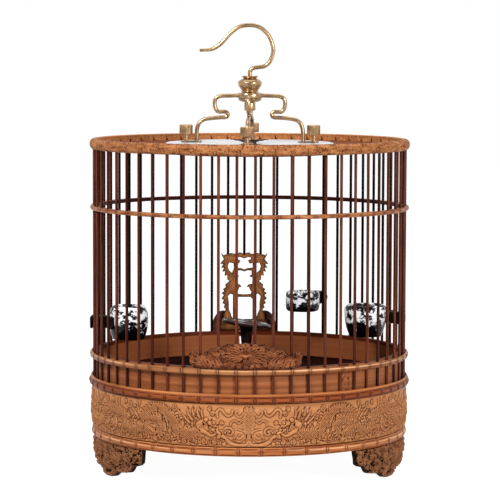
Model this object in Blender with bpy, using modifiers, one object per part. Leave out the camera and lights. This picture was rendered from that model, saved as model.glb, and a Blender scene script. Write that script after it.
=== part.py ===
"""Round bamboo song-bird cage with a carved base, a brass hanger and a sliding rear door.

Metres, +Z up. The cage stands on z = 0 with its axis on the Z axis and its carved plaque towards -Y.
Angles round the cage are measured from the front (-Y) towards +X.
"""
import math

import bmesh
import bpy
from mathutils import Matrix, Vector

# Fits shared by every joint between pieces
SEAT_GAP = 0.0003
OVERRUN = 0.002
WELD = 0.0001

# Bars
BAR_COUNT = 56
BAR_CIRCLE_RADIUS = 0.1608
BAR_RADIUS = 0.0015
BAR_SIDES = 6
FIRST_BAR_TURN = math.radians(2.03)
DOOR_BAR = 28

# Rings
RING_SEGMENTS = 48
TOP_RING_RISE = 0.2422
TOP_RING_HEIGHT = 0.0108
TOP_RING_WIDTH = 0.0105
TOP_RING_COVER = 0.0042
TOP_RING_EDGE = 0.0015
LEDGE_THICKNESS = 0.0017
LEDGE_WIDTH = 0.0035
SOCKET_DEPTH = 0.006
MID_HOOP_RISE = 0.1805
MID_HOOP_HEIGHT = 0.0039
MID_HOOP_WIDTH = 0.008
LOWER_HOOP_RISE = 0.0279
LOWER_HOOP_HEIGHT = 0.0056
LOWER_HOOP_THICKNESS = 0.00185
HOOP_EDGE = 0.0009

# Base, from the feet up
FOOT_HEIGHT = 0.0337
FOOT_INSET = 0.0025
FOOT_THICKNESS = 0.007
FOOT_HALF_WIDTH = 0.0517
FOOT_TURNS = {"foot_left": -60, "foot_right": 60, "foot_rear": 180}
LOWER_BAND_HEIGHT = 0.0087
LOWER_BAND_INSET = 0.0015
BAND_EDGE = 0.0012
DRUM_HEIGHT = 0.0435
DRUM_WALL_THICKNESS = 0.0145
DRUM_BULGE = 0.00155
TOP_BAND_HEIGHT = 0.009
TOP_BAND_THICKNESS = 0.00265
TOP_BAND_LINE = 0.0022
TOP_BAND_STEP = 0.0011
WALL_HEIGHT = 0.0347
WALL_THICKNESS = 0.004
FLOOR_THICKNESS = 0.0092
NOTCH_WIDTH = 0.016
NOTCH_DEPTH = 0.0155
NOTCH_OFFSET = 0.003

# Carved plaque in front, humped board behind
PLAQUE_THICKNESS = 0.004
PLAQUE_HALF_WIDTH = 0.056
PLAQUE_HEIGHT = 0.0262
PLAQUE_TURN = math.radians(-1.18)
BOARD_THICKNESS = 0.00335
BOARD_HALF_WIDTH = 0.0362
BOARD_HEIGHT = 0.0225

# Sliding door
PANEL_THICKNESS = 0.005
PANEL_HALF_WIDTH = 0.027
PANEL_HEIGHT = 0.0864
PANEL_SOCKET_DEPTH = 0.003

# Top grille and inlaid plates
GRILLE_RADIUS = 0.088
GRILLE_THICKNESS = 0.0095
GRILLE_EDGE = 0.0015
GRILLE_LIFT = 0.0006
SLAT_WIDTH = 0.0026
SLAT_HEIGHT = 0.0024
PLATE_MARGIN = 0.0012
PLATE_THICKNESS = 0.0015
PLATE_PARTING = 0.0065
PLATE_ARC_RADIUS = 0.221
ARC_STEPS = 18

# Hanger
HUB_RADIUS = 0.0129
HUB_FOOT_RADIUS = 0.006
HUB_RISE = 0.0514
HUB_HEIGHT = 0.0098
HUB_SEGMENTS = 16
FINIAL_RADIUS = 0.0124
FINIAL_HEIGHT = 0.0167
ROD_RADIUS = 0.00215
HOOK_REACH = 0.0522
HOOK_HEIGHT = 0.0523
HOOK_TIP_SCALE = 0.62
NUT_RADIUS = 0.0058
NUT_HEIGHT = 0.0084
NUT_THREAD = 0.0065
ARM_RADIUS = 0.002
ARM_SIDES = 8
ARM_DROP = 0.003
ARM_SOCKET = 0.0026
ARM_TURN = math.radians(-2.5)
ARM_NAMES = ("front", "right", "back", "left")
TAB_LENGTH = 0.011
TAB_RADIUS = 0.0055
TAB_THICKNESS = 0.0015
KNOB_RADIUS = 0.0067
KNOB_HEIGHT = 0.010
KNOB_LIFT = 0.0064
KNOB_EDGE = 0.0008
KNOB_INSET = 0.022
PIN_SEAT = 0.006
PIN_SIDES = 10

# Feeding cups: radius, height, rise above the deck, neck from saddle to clamp, height of the hold on it,
# and how far round it the saddle grips to each side
CUP_LEFT_RADIUS = 0.0205
CUP_LEFT_HEIGHT = 0.0345
CUP_LEFT_RISE = 0.0442
CUP_LEFT_NECK_LENGTH = 0.00955
CUP_LEFT_HOLD_HEIGHT = 0.0175
CUP_LEFT_GRIP = math.radians(48)
CUP_RIGHT_RADIUS = 0.0225
CUP_RIGHT_HEIGHT = 0.033
CUP_RIGHT_RISE = 0.0451
CUP_RIGHT_NECK_LENGTH = 0.0085
CUP_RIGHT_HOLD_HEIGHT = 0.0192
CUP_RIGHT_GRIP = math.radians(34)
CUP_SMALL_RADIUS = 0.01845
CUP_SMALL_HEIGHT = 0.0209
CUP_SMALL_RISE = 0.0619
CUP_SMALL_NECK_LENGTH = 0.0092
CUP_SMALL_HOLD_HEIGHT = 0.0123
CUP_SMALL_GRIP = math.radians(40)
CUP_SEGMENTS = 14
HOLDER_HEIGHT = 0.013
HOLDER_HALF_WIDTH = 0.013
HOLDER_NECK = 0.005
SADDLE_THICKNESS = 0.0028
CLAMP_THICKNESS = 0.003
CLAMP_ROOT = 0.004
STEM_RADIUS = 0.0025
CLAMP_NUT_THICKNESS = 0.003
CLAMP_NUT_THREAD = 0.0016

# Stage: a tilted round slab on a turned post that stands on the floor
SLAB_RADIUS = 0.0253
SLAB_THICKNESS = 0.003
SLAB_RISE = 0.0515
SLAB_TILT = math.radians(7.6)
SLAB_SEGMENTS = 24
STAGE_OFFSET = 0.003
POST_RADIUS = 0.014
POST_SEGMENTS = 14

# Outlines as shares of the sizes above, chosen by hand from the photograph
FOOT_SHARES = [(0.10, 0.0), (0.24, 0.035), (0.33, 0.12), (0.39, 0.20), (0.62, 0.25), (0.71, 0.30),
               (0.76, 0.42), (0.83, 0.49), (0.96, 0.56), (1.0, 0.65), (1.0, 1.0)]
DRUM_SHARES = [(0.9905, 1.0), (0.998, 0.80), (1.0, 0.55), (0.9985, 0.30), (0.9905, 0.0)]
PLAQUE_SHARES = [(0.0, 1.0), (0.10, 0.96), (0.17, 0.99), (0.25, 0.92), (0.34, 0.95), (0.42, 0.84),
                 (0.49, 0.86), (0.56, 0.74), (0.63, 0.73), (0.70, 0.60), (0.75, 0.54), (0.81, 0.66),
                 (0.88, 0.72), (0.95, 0.69), (1.0, 0.58), (0.985, 0.14), (0.93, 0.04), (0.80, 0.0)]
BOARD_SHARES = [(0.0, 0.30), (0.20, 0.34), (0.32, 0.55), (0.44, 0.84), (0.58, 0.99), (0.72, 1.0),
                (0.84, 0.86), (0.94, 0.60), (1.0, 0.30), (1.0, 0.0)]
PANEL_EDGE_SHARES = [(0.0, 0.968), (0.09, 0.992), (0.20, 0.998), (0.29, 0.977), (0.42, 0.983),
                     (0.54, 0.990), (0.71, 0.977), (0.85, 0.963), (0.95, 0.995), (0.89, 0.944),
                     (0.83, 0.912), (0.98, 0.855), (0.85, 0.848), (0.95, 0.803), (0.83, 0.803),
                     (0.89, 0.752), (0.78, 0.759), (0.80, 0.701), (0.69, 0.707), (0.69, 0.649),
                     (0.60, 0.632), (0.78, 0.585), (0.75, 0.553), (0.87, 0.528), (0.81, 0.502),
                     (0.93, 0.477), (0.83, 0.451), (0.93, 0.406), (0.83, 0.387), (0.89, 0.348),
                     (0.79, 0.330), (0.84, 0.292), (0.75, 0.272), (0.85, 0.208), (0.89, 0.143),
                     (1.0, 0.143), (1.0, 0.0)]
PANEL_HEAD_HOLE_SHARES = [(0.0, 0.919), (0.16, 0.939), (0.26, 0.934), (0.27, 0.911), (0.15, 0.893),
                          (0.22, 0.855), (0.34, 0.861), (0.34, 0.803), (0.12, 0.795), (0.0, 0.778)]
PANEL_HEART_HOLE_SHARES = [(0.0, 0.752), (0.12, 0.767), (0.30, 0.765), (0.30, 0.709), (0.20, 0.697),
                           (0.26, 0.682), (0.33, 0.682), (0.33, 0.593), (0.24, 0.593), (0.15, 0.580),
                           (0.10, 0.553), (0.19, 0.557), (0.24, 0.515), (0.30, 0.490), (0.26, 0.464),
                           (0.0, 0.459)]
PANEL_ARCH_SHARES = [(0.0, 0.426), (0.26, 0.426), (0.34, 0.400), (0.34, 0.143), (0.0, 0.143)]
PANEL_NECK_HOLE_SHARES = [(0.50, 0.861), (0.63, 0.868), (0.67, 0.823), (0.63, 0.772), (0.53, 0.740),
                          (0.49, 0.797)]
PANEL_TAIL_HOLE_SHARES = [(0.46, 0.457), (0.57, 0.470), (0.67, 0.439), (0.63, 0.361), (0.63, 0.272),
                          (0.54, 0.208), (0.51, 0.150), (0.46, 0.150)]
HUB_SHARES = [(0.60, 1.0), (0.96, 0.96), (1.0, 0.90), (1.0, 0.44), (0.90, 0.24)]
FINIAL_SHARES = [(0.50, 0.93), (0.72, 1.0), (0.69, 0.95), (0.53, 0.865), (0.90, 0.71), (1.0, 0.58),
                 (0.92, 0.42), (0.74, 0.29), (0.54, 0.14), (0.64, 0.07), (0.64, 0.0)]
HOOK_SHARES = [(-1.0, 0.503), (-0.868, 0.511), (-0.766, 0.522), (-0.667, 0.568), (-0.565, 0.648),
               (-0.464, 0.757), (-0.343, 0.880), (-0.203, 0.971), (-0.019, 1.0), (0.163, 0.971),
               (0.326, 0.849), (0.416, 0.698), (0.456, 0.537), (0.446, 0.417), (0.385, 0.277),
               (0.284, 0.195), (0.163, 0.176), (0.061, 0.155), (0.0, 0.085), (0.0, 0.0)]
ARM_SHARES = [(0.40, 0.993), (0.546, 0.985), (0.632, 0.94), (0.662, 0.85), (0.648, 0.73),
              (0.600, 0.655), (0.520, 0.650), (0.452, 0.645), (0.412, 0.592), (0.452, 0.532),
              (0.555, 0.525), (0.71, 0.510), (0.853, 0.482), (0.944, 0.415), (0.987, 0.310),
              (1.0, 0.180)]
CUP_LEFT_SHARES = [(0.0, 0.10), (0.62, 0.12), (0.84, 0.36), (0.87, 0.62), (0.82, 0.82),
                   (0.70, 0.95), (0.72, 1.0), (0.80, 1.0), (0.95, 0.84), (1.0, 0.60),
                   (0.97, 0.32), (0.86, 0.08), (0.80, 0.0), (0.0, 0.0)]
CUP_RIGHT_SHARES = [(0.0, 0.10), (0.56, 0.12), (0.78, 0.36), (0.87, 0.62), (0.88, 0.84),
                    (0.76, 0.96), (0.78, 1.0), (0.85, 1.0), (0.97, 0.92), (1.0, 0.82),
                    (0.98, 0.58), (0.88, 0.24), (0.75, 0.04), (0.72, 0.0), (0.0, 0.0)]
CUP_SMALL_SHARES = [(0.0, 0.14), (0.76, 0.16), (0.87, 0.34), (0.88, 1.0), (0.95, 1.0),
                    (1.0, 0.90), (1.0, 0.30), (0.94, 0.06), (0.88, 0.0), (0.0, 0.0)]
POST_SHARES = [(0.50, 1.0), (0.44, 0.88), (0.34, 0.70), (0.26, 0.52), (0.25, 0.36), (0.40, 0.20),
               (0.80, 0.10), (1.0, 0.06), (1.0, 0.0)]


def wipe_scene():
    for old in list(bpy.data.objects):
        bpy.data.objects.remove(old, do_unlink=True)


wipe_scene()
cage = bpy.data.collections.new("bird_cage")
cutters = bpy.data.collections.new("bird_cage_cutters")
bpy.context.scene.collection.children.link(cage)
bpy.context.scene.collection.children.link(cutters)


def finish(name, colour, roughness, metallic=0.0):
    mat = bpy.data.materials.new(name)
    mat.use_nodes = True
    shader = mat.node_tree.nodes["Principled BSDF"]
    shader.inputs["Base Color"].default_value = (*colour, 1.0)
    shader.inputs["Roughness"].default_value = roughness
    shader.inputs["Metallic"].default_value = metallic
    mat.diffuse_color = (*colour, 1.0)
    return mat


CARVED_WOOD = ((0.36, 0.15, 0.05), 0.5)
BAMBOO = ((0.30, 0.10, 0.04), 0.4)
GOLD_BAMBOO = ((0.42, 0.19, 0.07), 0.35)
DARK_WOOD = ((0.06, 0.02, 0.02), 0.4)
BONE = ((0.80, 0.80, 0.78), 0.35)
BRASS = ((0.60, 0.42, 0.18), 0.3, 1.0)
PORCELAIN = ((0.70, 0.72, 0.76), 0.15)
BLACK = ((0.02, 0.02, 0.025), 0.35)


def link(name, mesh, look=None):
    """Add a finished piece to the cage, or a cutter when it has no look."""
    obj = bpy.data.objects.new(name, mesh)
    if look is None:
        cutters.objects.link(obj)
        obj.hide_render = True
        obj.display_type = "WIRE"
    else:
        cage.objects.link(obj)
        mesh.materials.append(finish(name, *look))
    return obj


def polar(turn, radius, level=0.0):
    """A point at a turn round the cage from the front."""
    return Vector((radius * math.sin(turn), -radius * math.cos(turn), level))


def bar_turn(index):
    return FIRST_BAR_TURN + index * math.tau / BAR_COUNT


def turned(name, profile, segments, look=None, closed=True):
    """Turn a profile of (radius, level) points that runs down its outer side."""
    bm = bmesh.new()
    points = [bm.verts.new((radius, 0.0, level)) for radius, level in profile]
    ends = points[1:] + points[:1] if closed else points[1:]
    for first, second in zip(points, ends):
        bm.edges.new((first, second))
    mesh = bpy.data.meshes.new(name)
    bm.to_mesh(mesh)
    bm.free()
    obj = link(name, mesh, look)
    screw = obj.modifiers.new("Turn", "SCREW")
    screw.axis = "Z"
    screw.steps = segments
    screw.render_steps = segments
    screw.use_merge_vertices = True
    screw.merge_threshold = WELD
    screw.use_smooth_shade = False
    return obj


def boolean(obj, tool, operation):
    step = obj.modifiers.new(operation.title(), "BOOLEAN")
    step.operation = operation
    step.solver = "EXACT"
    step.object = tool


def prisms(name, places, sides, radius, bottom, top, look=None):
    """Upright rods of a few sides, one at each matrix in places."""
    bm = bmesh.new()
    for place in places:
        middle = Matrix.Translation((0.0, 0.0, (bottom + top) / 2))
        bmesh.ops.create_cone(bm, cap_ends=True, segments=sides, radius1=radius, radius2=radius,
                              depth=top - bottom, matrix=place @ middle)
    mesh = bpy.data.meshes.new(name)
    bm.to_mesh(mesh)
    bm.free()
    return link(name, mesh, look)


def boxes(name, places, size, look=None):
    """Boxes of one size, one at each matrix in places."""
    bm = bmesh.new()
    for place in places:
        bmesh.ops.create_cube(bm, size=1, matrix=place @ Matrix.Diagonal((*size, 1)))
    mesh = bpy.data.meshes.new(name)
    bm.to_mesh(mesh)
    bm.free()
    return link(name, mesh, look)


def curve_mesh(name, curve, place, look=None):
    """Turn a curve into a closed mesh with welded caps, standing at place."""
    source = bpy.data.objects.new(name + "_curve", curve)
    cutters.objects.link(source)
    bpy.context.view_layer.update()
    graph = bpy.context.evaluated_depsgraph_get()
    mesh = bpy.data.meshes.new_from_object(source.evaluated_get(graph))
    bpy.data.objects.remove(source, do_unlink=True)
    bm = bmesh.new()
    bm.from_mesh(mesh)
    bmesh.ops.remove_doubles(bm, verts=bm.verts, dist=WELD)
    bmesh.ops.recalc_face_normals(bm, faces=bm.faces)
    bm.to_mesh(mesh)
    bm.free()
    mesh.name = name
    mesh.materials.clear()
    obj = link(name, mesh, look)
    obj.matrix_world = place
    return obj


def outline(name, loops, thickness, place, look=None):
    """A flat outline, with later loops as holes in the first, extruded about its own plane."""
    curve = bpy.data.curves.new(name, "CURVE")
    curve.dimensions = "2D"
    curve.fill_mode = "BOTH"
    curve.extrude = thickness / 2
    for loop in loops:
        spline = curve.splines.new("POLY")
        spline.points.add(len(loop) - 1)
        for point, (across, up) in zip(spline.points, loop):
            point.co = (across, up, 0.0, 1.0)
        spline.use_cyclic_u = True
    return curve_mesh(name, curve, place, look)


def rod(name, route, radius, resolution, look=None, place=None, scales=None):
    """A round rod along a route of points, thinned by scales where they are given."""
    curve = bpy.data.curves.new(name, "CURVE")
    curve.dimensions = "3D"
    curve.bevel_depth = radius
    curve.bevel_resolution = resolution
    curve.use_fill_caps = True
    spline = curve.splines.new("POLY")
    spline.points.add(len(route) - 1)
    for index, (point, spot) in enumerate(zip(spline.points, route)):
        point.co = (*spot, 1.0)
        point.radius = scales[index] if scales else 1.0
    return curve_mesh(name, curve, place or Matrix.Identity(4), look)


def scaled(shares, across, up, base=0.0):
    return [(a * across, base + u * up) for a, u in shares]


def mirrored(half):
    """A closed outline from its right half, whose first or last point may lie on the centre line."""
    left = [(-a, u) for a, u in reversed(half) if a > 0.0]
    return half + left


def circle(centre, radius, sides):
    return [(centre[0] + radius * math.cos(math.tau * step / sides),
             centre[1] + radius * math.sin(math.tau * step / sides)) for step in range(sides)]


def facing(turn, radius, level):
    """An upright plane square to a turn: x runs along the ring, y up and z outwards."""
    place = Matrix.Rotation(turn, 4, "Z") @ Matrix.Translation((0.0, -radius, level))
    return place @ Matrix.Rotation(math.pi / 2, 4, "X")


def curved_plate(name, inner, thickness, turn, loops, level, tallest, look):
    """A plate that follows the bar circle, cut to an outline that looks straight out at a turn."""
    outer = inner + thickness
    low = level - OVERRUN
    high = level + tallest + OVERRUN
    plate = turned(name, [(inner, high), (outer, high), (outer, low), (inner, low)],
                   RING_SEGMENTS, look)
    widest = max(across for across, _ in loops[0])
    near = math.sqrt(inner ** 2 - widest ** 2) - OVERRUN
    far = outer + OVERRUN
    shape = outline(name + "_outline", loops, far - near, facing(turn, (near + far) / 2, level))
    boolean(plate, shape, "INTERSECT")
    return plate


# Levels stacked from the feet up
lower_band_bottom = FOOT_HEIGHT + SEAT_GAP
lower_band_top = lower_band_bottom + LOWER_BAND_HEIGHT
drum_bottom = lower_band_top + SEAT_GAP
drum_top = drum_bottom + DRUM_HEIGHT
deck = drum_top + SEAT_GAP
floor_top = deck + FLOOR_THICKNESS
wall_top = deck + WALL_HEIGHT
lower_hoop_bottom = deck + LOWER_HOOP_RISE
lower_hoop_top = lower_hoop_bottom + LOWER_HOOP_HEIGHT
mid_hoop_bottom = deck + MID_HOOP_RISE
mid_hoop_top = mid_hoop_bottom + MID_HOOP_HEIGHT
top_ring_bottom = deck + TOP_RING_RISE
top_ring_top = top_ring_bottom + TOP_RING_HEIGHT
ledge_top = top_ring_bottom + LEDGE_THICKNESS

# Radii, all from the circle that the bars stand on
bars_outside = (BAR_CIRCLE_RADIUS + BAR_RADIUS + SEAT_GAP) / math.cos(math.pi / RING_SEGMENTS)
bars_inside = BAR_CIRCLE_RADIUS - BAR_RADIUS - SEAT_GAP
bore_radius = BAR_RADIUS + SEAT_GAP / math.cos(math.pi / BAR_SIDES)
drum_radius = bars_outside + DRUM_BULGE
base_bore = drum_radius - DRUM_WALL_THICKNESS
lower_band_radius = drum_radius - LOWER_BAND_INSET
foot_radius = lower_band_radius - FOOT_INSET
top_band_radius = bars_outside + TOP_BAND_THICKNESS
lower_hoop_radius = bars_outside + LOWER_HOOP_THICKNESS
mid_hoop_bore = BAR_CIRCLE_RADIUS - MID_HOOP_WIDTH / 2
mid_hoop_radius = mid_hoop_bore + MID_HOOP_WIDTH
top_ring_radius = BAR_CIRCLE_RADIUS + TOP_RING_COVER
top_ring_bore = top_ring_radius - TOP_RING_WIDTH
plate_radius = GRILLE_RADIUS - PLATE_MARGIN
knob_circle_radius = GRILLE_RADIUS - KNOB_INSET
arm_spread = knob_circle_radius - TAB_LENGTH

# Base: lower band, carved barrel drum, top band, floor and inner wall
turned("base_lower_band",
       [(base_bore, lower_band_top), (lower_band_radius - BAND_EDGE, lower_band_top),
        (lower_band_radius, lower_band_top - BAND_EDGE),
        (lower_band_radius, lower_band_bottom + BAND_EDGE),
        (lower_band_radius - BAND_EDGE, lower_band_bottom), (base_bore, lower_band_bottom)],
       RING_SEGMENTS, CARVED_WOOD)
turned("base_drum",
       [(base_bore, drum_top)] + scaled(DRUM_SHARES, drum_radius, DRUM_HEIGHT, drum_bottom)
       + [(base_bore, drum_bottom)],
       RING_SEGMENTS, CARVED_WOOD)
top_band_top = deck + TOP_BAND_HEIGHT
turned("base_top_band",
       [(bars_outside, top_band_top), (top_band_radius - TOP_BAND_STEP, top_band_top),
        (top_band_radius - TOP_BAND_STEP, top_band_top - TOP_BAND_LINE),
        (top_band_radius, top_band_top - TOP_BAND_LINE - TOP_BAND_STEP),
        (top_band_radius, deck + BAND_EDGE), (top_band_radius - BAND_EDGE, deck),
        (bars_outside, deck)],
       RING_SEGMENTS, BAMBOO)
wall_bore = bars_inside - WALL_THICKNESS
wall = turned("wall_ring",
              [(wall_bore, wall_top), (bars_inside, wall_top), (bars_inside, deck), (wall_bore, deck)],
              RING_SEGMENTS, GOLD_BAMBOO)
notch_place = Matrix.Translation((-NOTCH_OFFSET, wall_bore, wall_top))
boolean(wall, boxes("wall_notch", [notch_place], (NOTCH_WIDTH, bars_outside - wall_bore + OVERRUN * 4,
                                                  NOTCH_DEPTH * 2)), "DIFFERENCE")
floor_radius = wall_bore - SEAT_GAP / math.cos(math.pi / RING_SEGMENTS)
turned("floor_board",
       [(0.0, floor_top), (floor_radius, floor_top), (floor_radius, deck), (0.0, deck)],
       RING_SEGMENTS, DARK_WOOD, closed=False)

# Three carved bracket feet
foot_outline = mirrored(scaled(FOOT_SHARES, FOOT_HALF_WIDTH, FOOT_HEIGHT))
for foot_name, foot_turn in FOOT_TURNS.items():
    inner = foot_radius - FOOT_THICKNESS
    foot = turned(foot_name,
                  [(inner, FOOT_HEIGHT + OVERRUN), (foot_radius, FOOT_HEIGHT + OVERRUN),
                   (foot_radius, -OVERRUN), (inner, -OVERRUN)], RING_SEGMENTS, CARVED_WOOD)
    near = math.sqrt(inner ** 2 - FOOT_HALF_WIDTH ** 2) - OVERRUN
    far = foot_radius + OVERRUN
    shape = outline(foot_name + "_outline", [foot_outline], far - near,
                    facing(math.radians(foot_turn), (near + far) / 2, 0.0))
    boolean(foot, shape, "INTERSECT")

# Bars, held in the middle hoop, between the wall and the outer hoops, and in the top ring's sockets
bar_places = [Matrix.Translation(polar(bar_turn(i), BAR_CIRCLE_RADIUS))
              @ Matrix.Rotation(bar_turn(i), 4, "Z") for i in range(BAR_COUNT)]
door_bars = (DOOR_BAR - 1, DOOR_BAR, DOOR_BAR + 1)
fixed_places = [place for i, place in enumerate(bar_places) if i not in door_bars]
door_places = [bar_places[i] for i in door_bars]
bar_top = top_ring_bottom + SOCKET_DEPTH - SEAT_GAP
turned("lower_hoop",
       [(bars_outside, lower_hoop_top), (lower_hoop_radius - HOOP_EDGE, lower_hoop_top),
        (lower_hoop_radius, lower_hoop_top - HOOP_EDGE), (lower_hoop_radius, lower_hoop_bottom + HOOP_EDGE),
        (lower_hoop_radius - HOOP_EDGE, lower_hoop_bottom), (bars_outside, lower_hoop_bottom)],
       RING_SEGMENTS, GOLD_BAMBOO)
mid_hoop = turned("bars_and_mid_hoop",
                  [(mid_hoop_bore, mid_hoop_top), (mid_hoop_radius, mid_hoop_top),
                   (mid_hoop_radius, mid_hoop_bottom), (mid_hoop_bore, mid_hoop_bottom)],
                  RING_SEGMENTS, BAMBOO)
boolean(mid_hoop, prisms("door_bar_holes", door_places, BAR_SIDES, bore_radius,
                         mid_hoop_bottom - OVERRUN, mid_hoop_top + OVERRUN), "DIFFERENCE")
boolean(mid_hoop, prisms("fixed_bars", fixed_places, BAR_SIDES, BAR_RADIUS, deck, bar_top), "UNION")

# Top ring with a blind socket for each bar, and holes that the door's bars run up through
top_ring = turned("top_ring",
                  [(top_ring_bore + LEDGE_WIDTH, top_ring_top),
                   (top_ring_radius - TOP_RING_EDGE, top_ring_top),
                   (top_ring_radius - TOP_RING_EDGE / 5, top_ring_top - TOP_RING_EDGE),
                   (top_ring_radius, top_ring_top - TOP_RING_EDGE * 2),
                   (top_ring_radius, top_ring_bottom + TOP_RING_EDGE * 2),
                   (top_ring_radius - TOP_RING_EDGE, top_ring_bottom),
                   (top_ring_bore, top_ring_bottom), (top_ring_bore, ledge_top),
                   (top_ring_bore + LEDGE_WIDTH, ledge_top)],
                  RING_SEGMENTS, CARVED_WOOD)
boolean(top_ring, prisms("bar_sockets", fixed_places, BAR_SIDES, bore_radius,
                         top_ring_bottom - OVERRUN, top_ring_bottom + SOCKET_DEPTH), "DIFFERENCE")
boolean(top_ring, prisms("door_bar_guides", door_places, BAR_SIDES, bore_radius,
                         top_ring_bottom - OVERRUN, top_ring_top + OVERRUN), "DIFFERENCE")

# Top grille: a round board with a slat to the ring's ledge at every bar
slat_bottom = ledge_top + SEAT_GAP
board_top = slat_bottom + SLAT_HEIGHT + GRILLE_LIFT
board_bottom = board_top - GRILLE_THICKNESS
slat_end = (top_ring_bore + LEDGE_WIDTH) * math.cos(math.pi / RING_SEGMENTS) - SEAT_GAP
slat_start = GRILLE_RADIUS - GRILLE_EDGE - OVERRUN
slat_places = [Matrix.Rotation(bar_turn(i), 4, "Z")
               @ Matrix.Translation((0.0, -(slat_start + slat_end) / 2, slat_bottom + SLAT_HEIGHT / 2))
               for i in range(BAR_COUNT)]
grille = turned("top_grille",
                [(0.0, board_top), (GRILLE_RADIUS, board_top), (GRILLE_RADIUS, board_bottom + GRILLE_EDGE),
                 (GRILLE_RADIUS - GRILLE_EDGE, board_bottom), (0.0, board_bottom)],
                RING_SEGMENTS, CARVED_WOOD, closed=False)
boolean(grille, boxes("slats", slat_places, (SLAT_WIDTH, slat_end - slat_start, SLAT_HEIGHT)), "UNION")
arm_turns = {side: ARM_TURN + index * math.tau / len(ARM_NAMES) for index, side in enumerate(ARM_NAMES)}
plate_bottom = board_top + SEAT_GAP
plate_top = plate_bottom + PLATE_THICKNESS
pin_bottom = board_top - PIN_SEAT
pin_hole = ROD_RADIUS + SEAT_GAP / math.cos(math.pi / PIN_SIDES)
pin_places = [Matrix.Translation(polar(turn, knob_circle_radius)) for turn in arm_turns.values()]
boolean(grille, prisms("pin_holes", pin_places, PIN_SIDES, pin_hole, pin_bottom - SEAT_GAP,
                       board_top + OVERRUN), "DIFFERENCE")


def parting(radius):
    """The bulging edge of a side plate: its far end on the plate circle, and points along it."""
    centre = PLATE_PARTING + PLATE_ARC_RADIUS
    end_x = (plate_radius ** 2 - radius ** 2 + centre ** 2) / (2 * centre)
    end_y = math.sqrt(plate_radius ** 2 - end_x ** 2)
    sweep = math.asin(end_y / radius)
    steps = ARC_STEPS // 2
    edge = [(centre - radius * math.cos(sweep * (1 - 2 * step / steps)),
             radius * math.sin(sweep * (1 - 2 * step / steps))) for step in range(steps + 1)]
    return math.atan2(end_y, end_x), edge


def pin_loop(side):
    spot = polar(arm_turns[side], knob_circle_radius)
    return circle((spot.x, spot.y), pin_hole, PIN_SIDES)


# Three inlaid plates on the board: two bone-white sides and a carved middle
plate_level = Matrix.Translation((0.0, 0.0, (plate_bottom + plate_top) / 2))
side_turn, side_edge = parting(PLATE_ARC_RADIUS)
side_rim = [(plate_radius * math.cos(side_turn * (2 * step / ARC_STEPS - 1)),
             plate_radius * math.sin(side_turn * (2 * step / ARC_STEPS - 1)))
            for step in range(ARC_STEPS + 1)]
right_loop = side_rim + side_edge[1:-1]
outline("top_plate_right", [right_loop, pin_loop("right")], PLATE_THICKNESS, plate_level, BONE)
outline("top_plate_left", [[(-x, y) for x, y in right_loop], pin_loop("left")], PLATE_THICKNESS,
        plate_level, BONE)
middle_turn, middle_edge = parting(PLATE_ARC_RADIUS + SEAT_GAP)
cap_steps = ARC_STEPS // 3
cap = [(plate_radius * math.cos(middle_turn + (math.pi - 2 * middle_turn) * step / cap_steps),
        plate_radius * math.sin(middle_turn + (math.pi - 2 * middle_turn) * step / cap_steps))
       for step in range(cap_steps + 1)]
middle_loop = cap[1:-1] + [(-x, y) for x, y in middle_edge]
middle_loop += [(-x, -y) for x, y in cap[1:-1]] + list(reversed(middle_edge))
outline("top_plate_middle", [middle_loop, pin_loop("front"), pin_loop("back")], PLATE_THICKNESS,
        plate_level, DARK_WOOD)

# Carved plaque on the lower hoop in front, humped board on it behind
plaque_loop = mirrored(scaled(PLAQUE_SHARES, PLAQUE_HALF_WIDTH, PLAQUE_HEIGHT))
curved_plate("front_plaque", bars_outside, PLAQUE_THICKNESS, PLAQUE_TURN, [plaque_loop],
             lower_hoop_top + SEAT_GAP, PLAQUE_HEIGHT, CARVED_WOOD)
door_turn = bar_turn(DOOR_BAR)
panel_inner = BAR_CIRCLE_RADIUS - PANEL_THICKNESS / 2
board_loop = mirrored(scaled(BOARD_SHARES, BOARD_HALF_WIDTH, BOARD_HEIGHT))
curved_plate("rear_board", panel_inner + PANEL_THICKNESS + SEAT_GAP, BOARD_THICKNESS, door_turn,
             [board_loop], lower_hoop_top + SEAT_GAP, BOARD_HEIGHT, DARK_WOOD)

# Sliding door: an openwork panel of two facing dragons under three bars
door = bpy.data.objects.new("door", None)
cage.objects.link(door)
door.location = polar(door_turn, BAR_CIRCLE_RADIUS, wall_top)
panel_bottom = wall_top + SEAT_GAP
panel_top = panel_bottom + PANEL_HEIGHT
panel_loops = [mirrored(scaled(PANEL_EDGE_SHARES, PANEL_HALF_WIDTH, PANEL_HEIGHT))]
for shares in (PANEL_HEAD_HOLE_SHARES, PANEL_HEART_HOLE_SHARES, PANEL_ARCH_SHARES):
    panel_loops.append(mirrored(scaled(shares, PANEL_HALF_WIDTH, PANEL_HEIGHT)))
for shares in (PANEL_NECK_HOLE_SHARES, PANEL_TAIL_HOLE_SHARES):
    hole = scaled(shares, PANEL_HALF_WIDTH, PANEL_HEIGHT)
    panel_loops += [hole, [(-a, u) for a, u in hole]]
panel = curved_plate("door_panel", panel_inner, PANEL_THICKNESS, door_turn, panel_loops,
                     panel_bottom, PANEL_HEIGHT, CARVED_WOOD)
socket_bottom = panel_top - PANEL_SOCKET_DEPTH
boolean(panel, prisms("panel_sockets", door_places, BAR_SIDES, bore_radius, socket_bottom,
                      panel_top + OVERRUN), "DIFFERENCE")
door_parts = [panel]
for side, place in zip(("right", "middle", "left"), door_places):
    door_parts.append(prisms("door_bar_" + side, [place], BAR_SIDES, BAR_RADIUS,
                             socket_bottom + SEAT_GAP, top_ring_top, BAMBOO))
bpy.context.view_layer.update()
for piece in door_parts:
    piece.parent = door
    piece.matrix_parent_inverse = door.matrix_world.inverted()

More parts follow.
